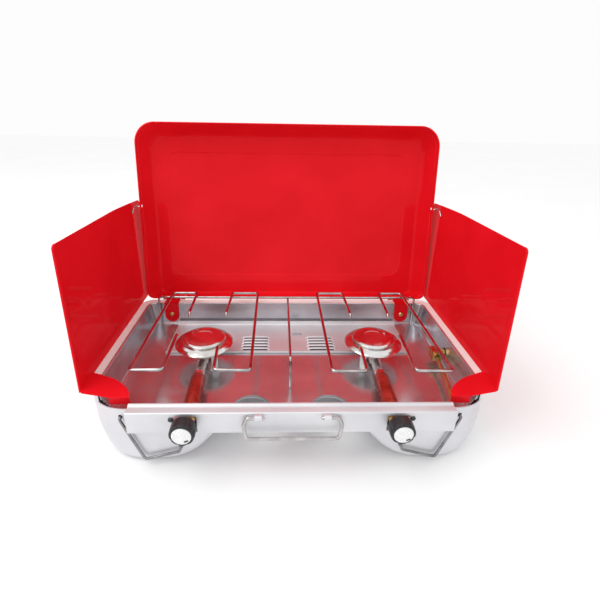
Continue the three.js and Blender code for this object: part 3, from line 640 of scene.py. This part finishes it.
def shield_side(offset, sign):
    """One side of the plate, as rows of points, with a hem along its front edge."""
    columns = [0, 0.002, 0.006, 0.012, 0.02] + [0.03 + 0.94 * i / 90 for i in range(91)]
    columns += [0.98, 0.99, 0.996, 1]
    rows = [0, 0.006, 0.012] + [0.02 + 0.96 * i / 60 for i in range(61)] + [0.985, 0.992, 0.997, 1]
    side = []
    for t in rows:
        row = []
        for s in columns:
            b = t * shield_top(s)
            rear = SHIELD_REAR + REAR_SLOPE * b - 4 * max(0, 1 - b / 8) ** 2
            a = (SHIELD_FRONT + SHIELD_LEAN * b / SHIELD_HEIGHT) * (1 - s) + rear * s
            from_front = s * SHIELD_WIDTH
            fold = HEM * min(1, max(0, (HEM_WIDTH - from_front) / 0.9))
            nearest = min(from_front, (1 - s) * SHIELD_WIDTH, (1 - t) * SHIELD_HEIGHT)
            edge = 0.35 * max(0, 1 - nearest / 0.8)
            row.append(Vector((a, b, offset + sign * (fold - edge) + rib_relief(a, b))))
        side.append(row)
    return side


def shield():
    """The right-hand shield: a leaning plate with a hemmed front edge and pressed ribs."""
    lean = Matrix((
        (0, math.sin(SHIELD_SPLAY), math.cos(SHIELD_SPLAY), SHIELD_X),
        (1, 0, 0, 0),
        (0, math.cos(SHIELD_SPLAY), -math.sin(SHIELD_SPLAY), 0.3),
        (0, 0, 0, 1),
    ))
    return Shape().sheet(shield_side(0, -1), shield_side(SHIELD_SHEET, 1)).moved(lean)


def shield_foot():
    """The foot that lies over the front corner, with its front edge turned down."""
    tab = plate(SHIELD_FOOT, 1.9, 3.1)
    lip = plate([(206, -133.8), (231, -133.8), (231, -132.5), (206, -132.5)], -8.4, 2.6)
    return tab, lip


def wind_shields():
    for name, side in SIDES:
        made = mesh_of(f"wind_shield_{name}_plate", on_side(shield(), side))
        replace(f"wind_shield_{name}_plate", made, f"wind_shield_{name}", sharp=60)
        for part, label in zip(shield_foot(), ("foot", "lip")):
            mesh = mesh_of(f"wind_shield_{name}_{label}", on_side(part, side))
            bevelled(mesh, 0.5, segments=3)
            piece(f"wind_shield_{name}_{label}", mesh, f"wind_shield_{name}", sharp=60, weighted=True)


# ---- case ----
LOBE_OUT = 208
LOBE_IN = 172
ARCH_X = 98
ARCH_Z = -44
ARC_Z = -10                      # the lobe's outer arc ends here, and its side goes on upright
CASE_TOP = -1.5
CASE_WALL = 1.4
CASE_DRAFT = 0.015
EDGE_ROLL = 11
CORNER_SLOPE = math.radians(10)


def case_elevation():
    """Underside of the case from its middle to its right end, as (x, z)."""
    middle = [(ARCH_X * i / 10, ARCH_Z) for i in range(10)]
    p = [
        Vector(q) for q in (
            (ARCH_X, ARCH_Z), (ARCH_X + 22, ARCH_Z - 28), (LOBE_IN - 32, GROUND), (LOBE_IN, GROUND))
    ]
    hump = []
    for i in range(25):
        t = i / 24
        u = 1 - t
        hump.append(p[0] * u ** 3 + p[1] * 3 * t * u ** 2 + p[2] * 3 * t * t * u + p[3] * t ** 3)
    foot = [(LOBE_IN + (LOBE_OUT - LOBE_IN) * i / 6, GROUND) for i in range(1, 6)]
    arc = []
    for i in range(33):
        a = math.radians(90 * (1 - i / 32))
        x = LOBE_OUT + (CASE_X - LOBE_OUT) * math.cos(a)
        arc.append((x, ARC_Z + (GROUND - ARC_Z) * math.sin(a)))
    rise = [(CASE_X, ARC_Z + (CASE_TOP - ARC_Z) * i / 4) for i in range(1, 5)]
    return [(q[0], q[1]) for q in (*middle, *hump, *foot, *arc, *rise)]


def drafted(y, height):
    """How far the draft moves a point that is on or near the front or the rear wall."""
    return math.copysign(CASE_DRAFT * -height, y) if abs(y) > 100 else 0


def case_section(x, z):
    """The case cut across at x, where its underside is at z: front, floor and rear."""
    front, rear = CASE_FRONT, CASE_REAR
    into_front = max(0, abs(x) - CASE_X - 2 + FRONT_CORNER)
    into_rear = max(0, abs(x) - CASE_X - 2 + REAR_CORNER)
    front += FRONT_CORNER - math.sqrt(FRONT_CORNER ** 2 - into_front ** 2)
    rear -= REAR_CORNER - math.sqrt(REAR_CORNER ** 2 - into_rear ** 2)
    roll = min(EDGE_ROLL, max(0.02, (CASE_TOP - z) * 0.55))
    heights = [CASE_TOP + (z + roll - CASE_TOP) * i / 9 for i in range(9)]
    bends = [math.radians(9 * i) for i in range(11)]
    bend = [(roll * (1 - math.cos(a)), z + roll * (1 - math.sin(a))) for a in bends]
    points = [(front, h) for h in heights]
    points += [(front + y, h) for y, h in bend]
    points += [(front + roll + (rear - front - 2 * roll) * i / 14, z) for i in range(1, 14)]
    points += [(rear - y, h) for y, h in reversed(bend)]
    points += [(rear, h) for h in reversed(heights)]
    return [(x, y - drafted(y, h), h) for y, h in points]


def case_shell():
    half = case_elevation()
    profile = [(-x, z) for x, z in reversed(half[1:])] + half
    sections = [case_section(x, z) for x, z in profile]
    shape = Shape().skin(sections, closed=False, start=False, end=False)
    mesh = mesh_of("case_shell_fine", shape)
    host = bpy.data.objects.new("case_skin", mesh)
    bpy.context.scene.collection.objects.link(host)
    wall = host.modifiers.new("wall", "SOLIDIFY")
    wall.thickness = CASE_WALL * MM
    wall.offset = -1
    wall.use_even_offset = False
    graph = bpy.context.evaluated_depsgraph_get()
    solid = bpy.data.meshes.new_from_object(host.evaluated_get(graph))
    bpy.data.objects.remove(host)
    cutters = pan_holes()
    cutters.append(block(-PANEL_X - 1, PANEL_X + 1, -200, -140, -30.4, 10))
    slope = Matrix.Translation((PANEL_X, 0, -3)) @ Matrix.Rotation(CORNER_SLOPE, 4, "Y")
    for _, side in SIDES:
        cutters.append(on_side(block(0, 90, -200, -124, 0, 20).moved(slope), side))
        for x, z in (WIRE_EYE, WIRE_TAIL):
            cutters.append(rod(3, 130, 180, (side * x, 0, z), "-y", 24))
    replace("case_shell_fine", carved(solid, *cutters), "case_shell", sharp=50)


# ---- drip tray ----
def rim_plan(inset, z):
    front, rear = inset - RIM_HALF_DEPTH, RIM_HALF_DEPTH - inset
    corners = (FRONT_CORNER - inset * 0.9, REAR_CORNER - inset * 0.5)
    return plan(RIM_X - inset, front, rear, *corners, z)


def bowl_plan(inset, z):
    """The tray's own outline; outside its wall the front corners follow the rim's larger radius."""
    corners = (54 - inset * 0.5 + max(0, -inset - 1.5) * 5, 12 - inset * 0.2)
    return plan(TRAY_X - inset, TRAY_FRONT + inset, TRAY_REAR - inset * 0.55, *corners, z)


def ledge():
    """The flat ledge with its turned-down outer edge, as a closed ring."""
    over = ((0.1, -4.2), (0, -1.2), (0.3, -0.4), (1.0, 0), (4.5, 0), (8, 0))
    under = ((8, -TRAY_SHEET), (2.4, -TRAY_SHEET), (1.3, -1.9), (1.2, -4.2))
    rings = [rim_plan(*step) for step in over]
    rings += [bowl_plan(-4.5, 0), bowl_plan(-4.5, -TRAY_SHEET)]
    rings += [rim_plan(*step) for step in under]
    return Shape().skin([*rings, rings[0]], start=False, end=False)


def bowl():
    """The bead, the sloping walls and the floor: out along the underside, back over the top.

    In front the bead is pressed flat below the case's rim, under the panel and the shields' feet.
    """
    underside = -TRAY_DEPTH - TRAY_SHEET
    under = [(-1.2, -2), (0.3, -10), (1.8, -20), (3.4, -30), (5.2, underside), (30, underside)]
    over = [(0, -1), (1.5, -10), (3, -20), (4.6, -30), (6.4, -TRAY_DEPTH), (30, -TRAY_DEPTH)]
    bead = [
        (-4.4, 0), (-3.9, 0.25), (-3.4, 1.0), (-2.8, 1.5), (-1.9, 1.6), (-1.0, 1.4), (-0.3, 0.7),
        (0, -0.4),
    ]
    lower = [bowl_plan(60, underside)]
    lower += [bowl_plan(i, z) for i, z, _ in reversed(fillet([(i, z, 0) for i, z in under], 9, 8))]
    lower += [bowl_plan(i, z) for i, z in ((-2.6, -0.6), (-4.4, -TRAY_SHEET))]
    upper = [bowl_plan(i, z) for i, z in bead]
    upper += [bowl_plan(i, z) for i, z, _ in fillet([(i, z, 0) for i, z in over], 9, 8)]
    upper.append(bowl_plan(60, -TRAY_DEPTH))
    for rings, top in ((lower, -8 - TRAY_SHEET), (upper, -8)):
        for p in (p for ring in rings for p in ring):
            if p.y < TRAY_CUT_Y:
                p.z = min(p.z, top)
    return Shape().skin(lower + upper)


def drip_tray():
    front = block(-300, 300, -200, TRAY_CUT_Y, -8, 10)
    notches = [block(x - 15, x + 15, 140.5, 170, 0, 10) for x in (-HINGE_X, HINGE_X)]
    edge = carved(mesh_of("drip_tray_ledge", ledge()), front, *notches)
    replace("drip_tray_ledge", edge, "drip_tray", sharp=50, look="satin_rim")
    cutters = pan_holes()
    cutters.append(block(-PANEL_X - 2, PANEL_X + 2, -200, -130, -29, 10))
    for _, side in SIDES:
        cutters.append(rod(1.9, 120, 170, (side * HINGE_X, 290, HINGE_RIVET_Z), "-y", 24))
    mesh = carved(mesh_of("drip_tray_bowl", bowl()), *notches, *cutters)
    piece("drip_tray_bowl", mesh, "drip_tray", sharp=50)


# ---- rear heat plate ----
PLATE_X = 206
PLATE_Y = (32, 132)
PLATE_Z = -TRAY_DEPTH + 0.3
PLATE_SHEET = 1.2
LOUVRE = (57, 44, 9.5, 25)       # x, first y, pitch and half length


def heat_plate():
    low, high = PLATE_Y
    step_x, step_y = 1.25, 0.8
    xs = [-PLATE_X + i * step_x for i in range(int(2 * PLATE_X / step_x) + 1)]
    ys = [low + i * step_y for i in range(int((high - low) / step_y) + 1)]
    louvre_x, first, pitch, half = LOUVRE
    louvres = [(side * louvre_x, first + pitch * i) for _, side in SIDES for i in range(5)]

    def height(x, y):
        """How far the plate stands up at (x, y): its louvres, rear lip and front roll."""
        steep, gentle = 2.4, 5
        z = 0.0
        for cx, cy in louvres:
            along = abs(x - cx) / half
            if along < 1 and -steep < y - cy < gentle:
                crown = math.sqrt(1 - along ** 4)
                if y > cy:
                    slope = 1 - ((y - cy) / gentle) ** 2
                else:
                    slope = max(0, 1 + (y - cy) / steep) ** 0.4
                z = max(z, 3.1 * crown * slope)
        lip = max(0, y - high + 5) / 5
        roll = max(0, 1 - (y - low) / 3.2)
        return z + 7 * lip * lip + 2.6 * math.sin(math.pi * roll) ** 2

    grid = [[Vector((x, y, PLATE_Z + PLATE_SHEET + height(x, y))) for x in xs] for y in ys]
    under = [[Vector((p.x, p.y, max(PLATE_Z, p.z - PLATE_SHEET))) for p in row] for row in grid]
    mesh = mesh_of("rear_heat_plate_fine", Shape().sheet(grid, under))
    slot = block(8, 26, 90, 98, PLATE_Z - 2, PLATE_Z + 6)
    slits = [
        block(cx - 21, cx + 21, cy - 3.6, cy - 1.2, PLATE_Z - 2, PLATE_Z + 2.4) for cx, cy in louvres
    ]
    replace("rear_heat_plate_fine", carved(mesh, slot, *slits), "rear_heat_plate", sharp=45)


# ---- control panel ----
PANEL_SECTION = (                # cut across, as (y, z)
    (-143.2, 0), (-143.2, 1.2), (-144.2, 2.2), (-146.6, 2.2), (-148.6, 0.7), (-151, 0.3),
    (-152.4, 0.9), (-160.6, 1.1), (-162, 0.3), (PANEL_FACE, -1.2),
    (PANEL_FACE, -PANEL_HEIGHT + 1), (-161.5, -PANEL_HEIGHT), (-152, -PANEL_HEIGHT),
    (-152, -PANEL_HEIGHT + PANEL_SHEET), (PANEL_FACE + PANEL_SHEET, -PANEL_HEIGHT + PANEL_SHEET),
    (PANEL_FACE + PANEL_SHEET, -1.4), (-160.4, -0.4), (-152.6, -0.5), (-151.2, -1.1), (-146, -1.1),
    (-145.2, -3.5), (-143.8, -3.5),
)


def control_panel():
    section = fillet([(y, z, 0) for y, z in PANEL_SECTION], 1.1, 4, closed=True)
    stops = (-PANEL_X, -PANEL_X + 0.4, PANEL_X - 0.4, PANEL_X)
    rings = [[(x, y, z) for y, z, _ in section] for x in stops]
    mesh = mesh_of("control_panel_fine", Shape().skin(rings))
    cutters = []
    for _, side in SIDES:
        x0, x1 = side * KNOB[0] - 14, side * KNOB[0] + 14
        z0, z1 = -27.5, -3.4
        window = fillet([(x0, z0, 0), (x1, z0, 0), (x1, z1, 0), (x0, z1, 0)], 2, 5, closed=True)
        cutters.append(Shape().skin([[(x, y, z) for x, z, _ in window] for y in (-170, -155)]))
        screw_x, screw_z = PANEL_SCREW
        cutters.append(rod(1.9, 140, 175, (side * screw_x, 0, screw_z), "-y", 24))
    replace("control_panel_fine", carved(mesh, *cutters), "control_panel", sharp=40)


# ---- wires ----
REAR_RUN = 146
SUPPORT_Z = 20
LOOPS = {                        # each pan support's corners, as (x, y)
    "outer_left": (
        (-168, 66), (-169, REAR_RUN), (-213, REAR_RUN), (-215, -99), (-171, -99), (-173, -6)),
    "inner_left": (
        (-106, 64), (-103, REAR_RUN), (-56, REAR_RUN), (-55, -101), (-104, -99), (-106, -41)),
    "inner_right": (
        (105, 61), (103, REAR_RUN), (55, REAR_RUN), (54, -103), (101, -103), (103, -45)),
    "outer_right": (
        (169, 60), (172, REAR_RUN), (215, REAR_RUN), (217, -103), (167, -103), (171, -9)),
}
RAIL_WIRE = 2
RAIL = (239, 137.5, SUPPORT_Z - WIRE - RAIL_WIRE - 0.3)
BAIL = (56, -167, -2.6)          # upper corner of the carrying handle


def pan_supports():
    for name, run in LOOPS.items():
        points = [(x, y, SUPPORT_Z) for x, y in run]
        points.insert(0, (run[0][0], run[0][1] - 3, SUPPORT_Z - 7))
        points.append((run[-1][0], run[-1][1] + 3, SUPPORT_Z - 7))
        node = f"pan_support_{name}"
        replace(f"{node}_fine", mesh_of(node, tube(points, WIRE)), node, sharp=80)
    x, y, z = RAIL
    low = -TRAY_DEPTH + 0.6
    rail = [(-x, y - 5, low), (-x, y, z), (x, y, z), (x, y - 5, low)]
    replace("pan_support_rail_fine", mesh_of("rail", tube(rail, RAIL_WIRE)), "pan_support_rail", sharp=80)
    prop = [(0, y - 4.6, z), (0, -52, 6), (0, -60, low + 0.3)]
    replace("pan_support_prop_fine", mesh_of("prop", tube(prop, RAIL_WIRE)), "pan_support_prop", sharp=80)


def carry_handle():
    x, y, z = BAIL
    low = z - 27.6
    handle = [
        (-34, y, z), (-x, y, z), (-x - 4, y - 2, z - 9), (-x - 1, y - 5, low),
        (x + 1, y - 5, low), (x + 4, y - 2, z - 9), (x, y, z), (34, y, z),
    ]
    replace("carry_handle_fine", mesh_of("handle", tube(handle, 2.4, 5)), "carry_handle", sharp=80)


def guards_and_hooks():
    """The wires in front of the lobes, and the hooks that hold the shields to the lid."""
    for name, side in SIDES:
        (eye_x, eye_z), (tail_x, tail_z) = WIRE_EYE, WIRE_TAIL
        guard = [
            (eye_x, -144.2, eye_z), (eye_x, -151, eye_z), (190, -153.6, -81), (145, -153.6, -68),
            (tail_x, -153.2, tail_z - 1), (tail_x, -144, tail_z),
        ]
        mesh = mesh_of("guard", on_side(tube(guard, 1.9, 5), side))
        # The corner wires take the darkened chrome look: their dark colour is painted shade.
        replace(f"corner_wire_{name}_fine", mesh, f"corner_wire_{name}", sharp=80, look="shade_darkened_wire")
        reach = SHIELD_X + HOOK_V * math.sin(SHIELD_SPLAY) - 1.4
        hook = [
            (reach, 166, HOOK_V - 6), (reach, 176, HOOK_V + 2), (271.4, 184, HOOK_V + 4),
            (271.4, 196, HOOK_V),
        ]
        mesh = mesh_of("hook", on_side(tube(hook, 1.1, 4, 14), side))
        replace(f"shield_hook_{name}_fine", mesh, f"shield_hook_{name}", sharp=80)


def gas_manifold():
    pipe_y, pipe_z = KNOB[1] + 1, KNOB[2] - 4
    pipe = [
        (-KNOB[0] - 8, pipe_y, pipe_z), (KNOB[0] + 30, pipe_y, pipe_z),
        (KNOB[0] + 52, pipe_y + 2, pipe_z - 5), (INLET[0] - 18, -112, -27), (INLET[0] - 8, -60, -27),
        (INLET[0] - 1, INLET[1] - 7, INLET[2]),
    ]
    replace("gas_manifold_fine", mesh_of("pipe", tube(pipe, 3, 14)), "gas_manifold", sharp=80)


# ---- burners ----
HUB_Z = -17
ELBOW_Z = HUB_Z - 10
PORTS = 40                       # flame ports round a burner head
SLEEVE_FROM = 52.3               # the air sleeve starts here along the burner's tube
SLEEVE = 75


def burner_line(side):
    """The frame of a burner's tube: from the elbow towards its valve."""
    start = Vector((side * BURNER[0], BURNER[1] - 25, ELBOW_Z))
    end = Vector((side * KNOB[0], -120, KNOB[2] - 5))
    along = (end - start).normalized()
    across = along.cross(Vector((0, 0, 1))).normalized()
    return start, (along, across, along.cross(across))


def open_ring(shape, steps):
    """A turned ring: its first and last rounds are joined, so the bore stays open."""
    faces = [f for f in shape.faces if len(f) == 4]
    rounds = len(shape.points) // steps
    last = (rounds - 1) * steps
    for i in range(steps):
        faces.append((last + i, last + (i + 1) % steps, (i + 1) % steps, i))
    shape.faces = faces
    return mesh_of("ring", shape)


def burner_cap(name, centre):
    cap = turned([
        (0, -3.2), (32.2, -3.2), (33.6, -2.2), (34, -0.9), (33.4, 0.5), (30, 1.7), (22, 2.9),
        (15.4, 3.4), (14.6, 3.1), (8, 3.5), (0, 3.7),
    ], centre, steps=128, corner=1.2, corner_steps=5)
    replace(f"burner_cap_{name}_fine", mesh_of("cap", cap), f"burner_cap_{name}", sharp=60)


def burner_head(name, centre):
    head = turned([
        (8.9, -3.6), (32.5, -3.6), (35, -3.8), (40, -5), (44.6, -7), (46.4, -8.8), (45.6, -9.8),
        (40, -9.2), (27, -12), (14.5, HUB_Z), (9, HUB_Z),
    ], centre, steps=144, corner=1.6, corner_steps=5)
    replace(f"burner_head_{name}_fine", open_ring(head, 144), f"burner_head_{name}", sharp=60)
    ports = Shape()
    foot = Vector(centre) + Vector((0, 0, -3.9))
    for i in range(PORTS):
        a = 2 * math.pi * i / PORTS
        u = Vector((math.cos(a), math.sin(a), 0))
        v = Vector((-math.sin(a), math.cos(a), 0))
        low = [foot + u * 30 + v * w for w in (-0.9, 0.9)]
        low += [foot + u * 32.6 + v * w for w in (0.9, -0.9)]
        ports.skin([low, [p + Vector((0, 0, 0.9)) for p in low]])
    piece(f"burner_ports_{name}", mesh_of("ports", ports), f"burner_head_{name}", sharp=30)


def mixing_tube(name, start, axes):
    tube_wall = turned([
        (6.4, 0), (9.2, 0), (9.2, 4), (7.8, 8), (7.8, 38), (9.6, 44), (9.6, 52), (6.4, 52),
    ], start, axes, 64, 1.5, 5)
    replace(f"mixing_tube_{name}_fine", open_ring(tube_wall, 64), f"mixing_tube_{name}", sharp=60)


def air_sleeve(name, start, axes):
    """The sleeve on the tube's lower half, its red a painted reflection of the lid, with its window cut
    in the underside.
    """
    along, across, up = axes
    start = start + along * SLEEVE_FROM
    sleeve = turned([(9, 0), (10.6, 0), (10.6, SLEEVE), (9, SLEEVE)], start, axes, 64, 0.3, 3)
    window = block(-4, 4, 30, 48, -20, 20)
    window.points = [start + along * p.y + across * p.x - up * (p.z - 26) for p in window.points]
    mesh = carved(open_ring(sleeve, 64), window)
    replace(f"air_sleeve_{name}_fine", mesh, f"air_sleeve_{name}", sharp=50)


def burners():
    for name, side in SIDES:
        centre = (side * BURNER[0], BURNER[1], 0)
        line = burner_line(side)
        burner_cap(name, centre)
        burner_head(name, centre)
        mixing_tube(name, *line)
        air_sleeve(name, *line)
        refined(f"burner_elbow_{name}", 0.8)
        refined(f"burner_bracket_{name}", 0.35, look="satin_rim")


# ---- knobs ----
FLUTES = 8


def knobs():
    for name, side in SIDES:
        c = Vector((side * KNOB[0], KNOB[1], KNOB[2]))
        knob = turned([
            (3.3, 33), (3.3, 22), (14.8, 22), (15.4, 23), (15.4, 36), (14.8, 38.4), (13.4, 39.4),
            (12.1, 39.4), (12.1, 38.2), (0, 38.2),
        ], c, "-y", 160, 0.8, 5)
        for p in knob.points:
            away = Vector((p.x - c.x, 0, p.z - c.z))
            height = c.y - p.y
            if away.length > 13 and height > 25:
                turn = math.atan2(away.z, away.x) / (2 * math.pi) * FLUTES
                near = abs(turn - math.floor(turn) - 0.5)
                dip = 0.9 * math.exp(-(near / 0.12) ** 2) * min(1, (height - 25) / 2)
                p -= away.normalized() * dip
        replace(f"knob_{name}_fine", mesh_of("knob", knob), f"knob_{name}", sharp=60)
        node = f"knob_insert_{name}"
        insert = turned([
            (0, 38.5), (11.8, 38.5), (11.8, 39.6), (10.4, 40.6), (5, 41.2), (0, 41.3),
        ], c, "-y", 96, 0.8, 5)
        replace(f"{node}_fine", mesh_of("insert", insert), node, sharp=60)
        corners = [(3.4, -7.4, 0), (8.4, -5.6, 0), (7.8, -3.9, 0), (2.8, -5.7, 0)]
        mark = fillet(corners, 0.7, 4, closed=True)
        rings = [[(c.x + x, c.y - h, c.z + z) for x, z, _ in mark] for h in (40.0, 41.35)]
        mesh = mesh_of("mark", Shape().skin(rings))
        piece(f"knob_mark_{name}", mesh, node, sharp=40, look="black_knob")


# ---- small turned pieces ----
def rivets_and_screws():
    for name, side in SIDES:
        rivet = turned([
            (0, -6), (1.5, -6), (1.5, 0), (4.2, 0), (4.1, 0.8), (3.2, 2.0), (1.6, 2.7), (0, 2.8),
        ], (side * HINGE_X, 138, HINGE_RIVET_Z), "-y", 48, 0.8, 5)
        replace(f"hinge_rivet_{name}_fine", mesh_of("rivet", rivet), f"hinge_rivet_{name}", sharp=60)
        x, z = side * PANEL_SCREW[0], PANEL_SCREW[1]
        screw = turned([
            (0, -6), (1.6, -6), (1.6, 0.3), (3.4, 0.3), (3.3, 1.0), (2.4, 1.9), (1.2, 2.2), (0, 2.2),
        ], (x, PANEL_FACE, z), "-y", 40, 0.4, 4)
        slot = block(x - 5, x + 5, -170, PANEL_FACE - 1.5, z - 0.4, z + 0.4)
        mesh = carved(mesh_of("screw", screw), slot)
        replace(f"panel_screw_{name}_fine", mesh, f"panel_screw_{name}", sharp=40, look="dark_screw")


def small_parts():
    """Pieces whose CAD shape is right: their edges are rounded."""
    for name, _ in SIDES:
        refined(f"hinge_leaf_{name}", 0.35)
        refined(f"hinge_pin_{name}", 0.3, over=60)
        refined(f"lid_hinge_leaf_{name}", 0.35)
        refined(f"lid_lug_{name}", 0.35)
        refined(f"gas_valve_{name}", 0.5)
        refined(f"valve_stem_{name}", 0.3, over=50)
        refined(f"handle_clip_{name}", 0.4, look="pressed_aluminium")
        for where in ("outer", "inner"):
            refined(f"lug_rivet_{name}_{where}", 0.2, over=50)
    refined("gas_inlet_fitting", 0.5)


# ---- camera, floor and light ----
def look_through():
    """The photograph's standpoint: above and in front of the stove, a little left of its middle."""
    yaw, pitch, roll = (math.radians(a) for a in (1.99, 24.5, 1.03))
    level = Vector((math.sin(yaw), math.cos(yaw), 0))
    ahead = level * math.cos(pitch) - Vector((0, 0, math.sin(pitch)))
    right = Vector((math.cos(yaw), -math.sin(yaw), 0))
    up = right.cross(ahead)
    side = right * math.cos(roll) + up * math.sin(roll)
    top = up * math.cos(roll) - right * math.sin(roll)
    camera = bpy.data.objects.new("camera", bpy.data.cameras.new("camera"))
    bpy.context.scene.collection.objects.link(camera)
    place = Matrix((side, top, -ahead)).transposed().to_4x4()
    place.translation = at((-19.7, -547.7, 336.5))
    camera.matrix_world = place
    camera.data.sensor_width = 36
    camera.data.lens = 24.27
    camera.data.shift_x = 0.0167
    camera.data.shift_y = -0.0113
    camera.data.clip_start = 0.01
    bpy.context.scene.camera = camera


def floor():
    half = 6
    corners = [(-half, -half, 0), (half, -half, 0), (half, half, 0), (-half, half, 0)]
    mesh = bpy.data.meshes.new("floor")
    mesh.from_pydata(corners, [], [(0, 1, 2, 3)])
    made = bpy.data.objects.new("floor", mesh)
    bpy.context.scene.collection.objects.link(made)
    look = Look("pale_floor", 0.0, 0.7)
    look.colour(look.noise(3), (0.3, (0.96, 0.96, 0.96)), (0.7, (0.98, 0.98, 0.98)))
    mesh.materials.append(look.material)


def softbox(name, position, target, size, watts):
    data = bpy.data.lights.new(name, "AREA")
    data.shape = "RECTANGLE"
    data.size, data.size_y = size
    data.energy = watts
    lamp = bpy.data.objects.new(name, data)
    bpy.context.scene.collection.objects.link(lamp)
    lamp.location = position
    lamp.rotation_euler = (Vector(target) - Vector(position)).to_track_quat("-Z", "Y").to_euler()


def light():
    world = bpy.data.worlds.new("studio")
    world.use_nodes = True
    background = world.node_tree.nodes["Background"]
    background.inputs["Color"].default_value = (1, 1, 1, 1)
    background.inputs["Strength"].default_value = 0.98
    bpy.context.scene.world = world
    softbox("key", (-1.1, -0.5, 1.9), (0, 0, 0.1), (1.4, 1.4), 15)
    bpy.context.scene.view_settings.view_transform = "Standard"


look_through()
floor()
light()
lid()
wind_shields()
case_shell()
drip_tray()
heat_plate()
control_panel()
pan_supports()
carry_handle()
guards_and_hooks()
gas_manifold()
burners()
knobs()
rivets_and_screws()
small_parts()
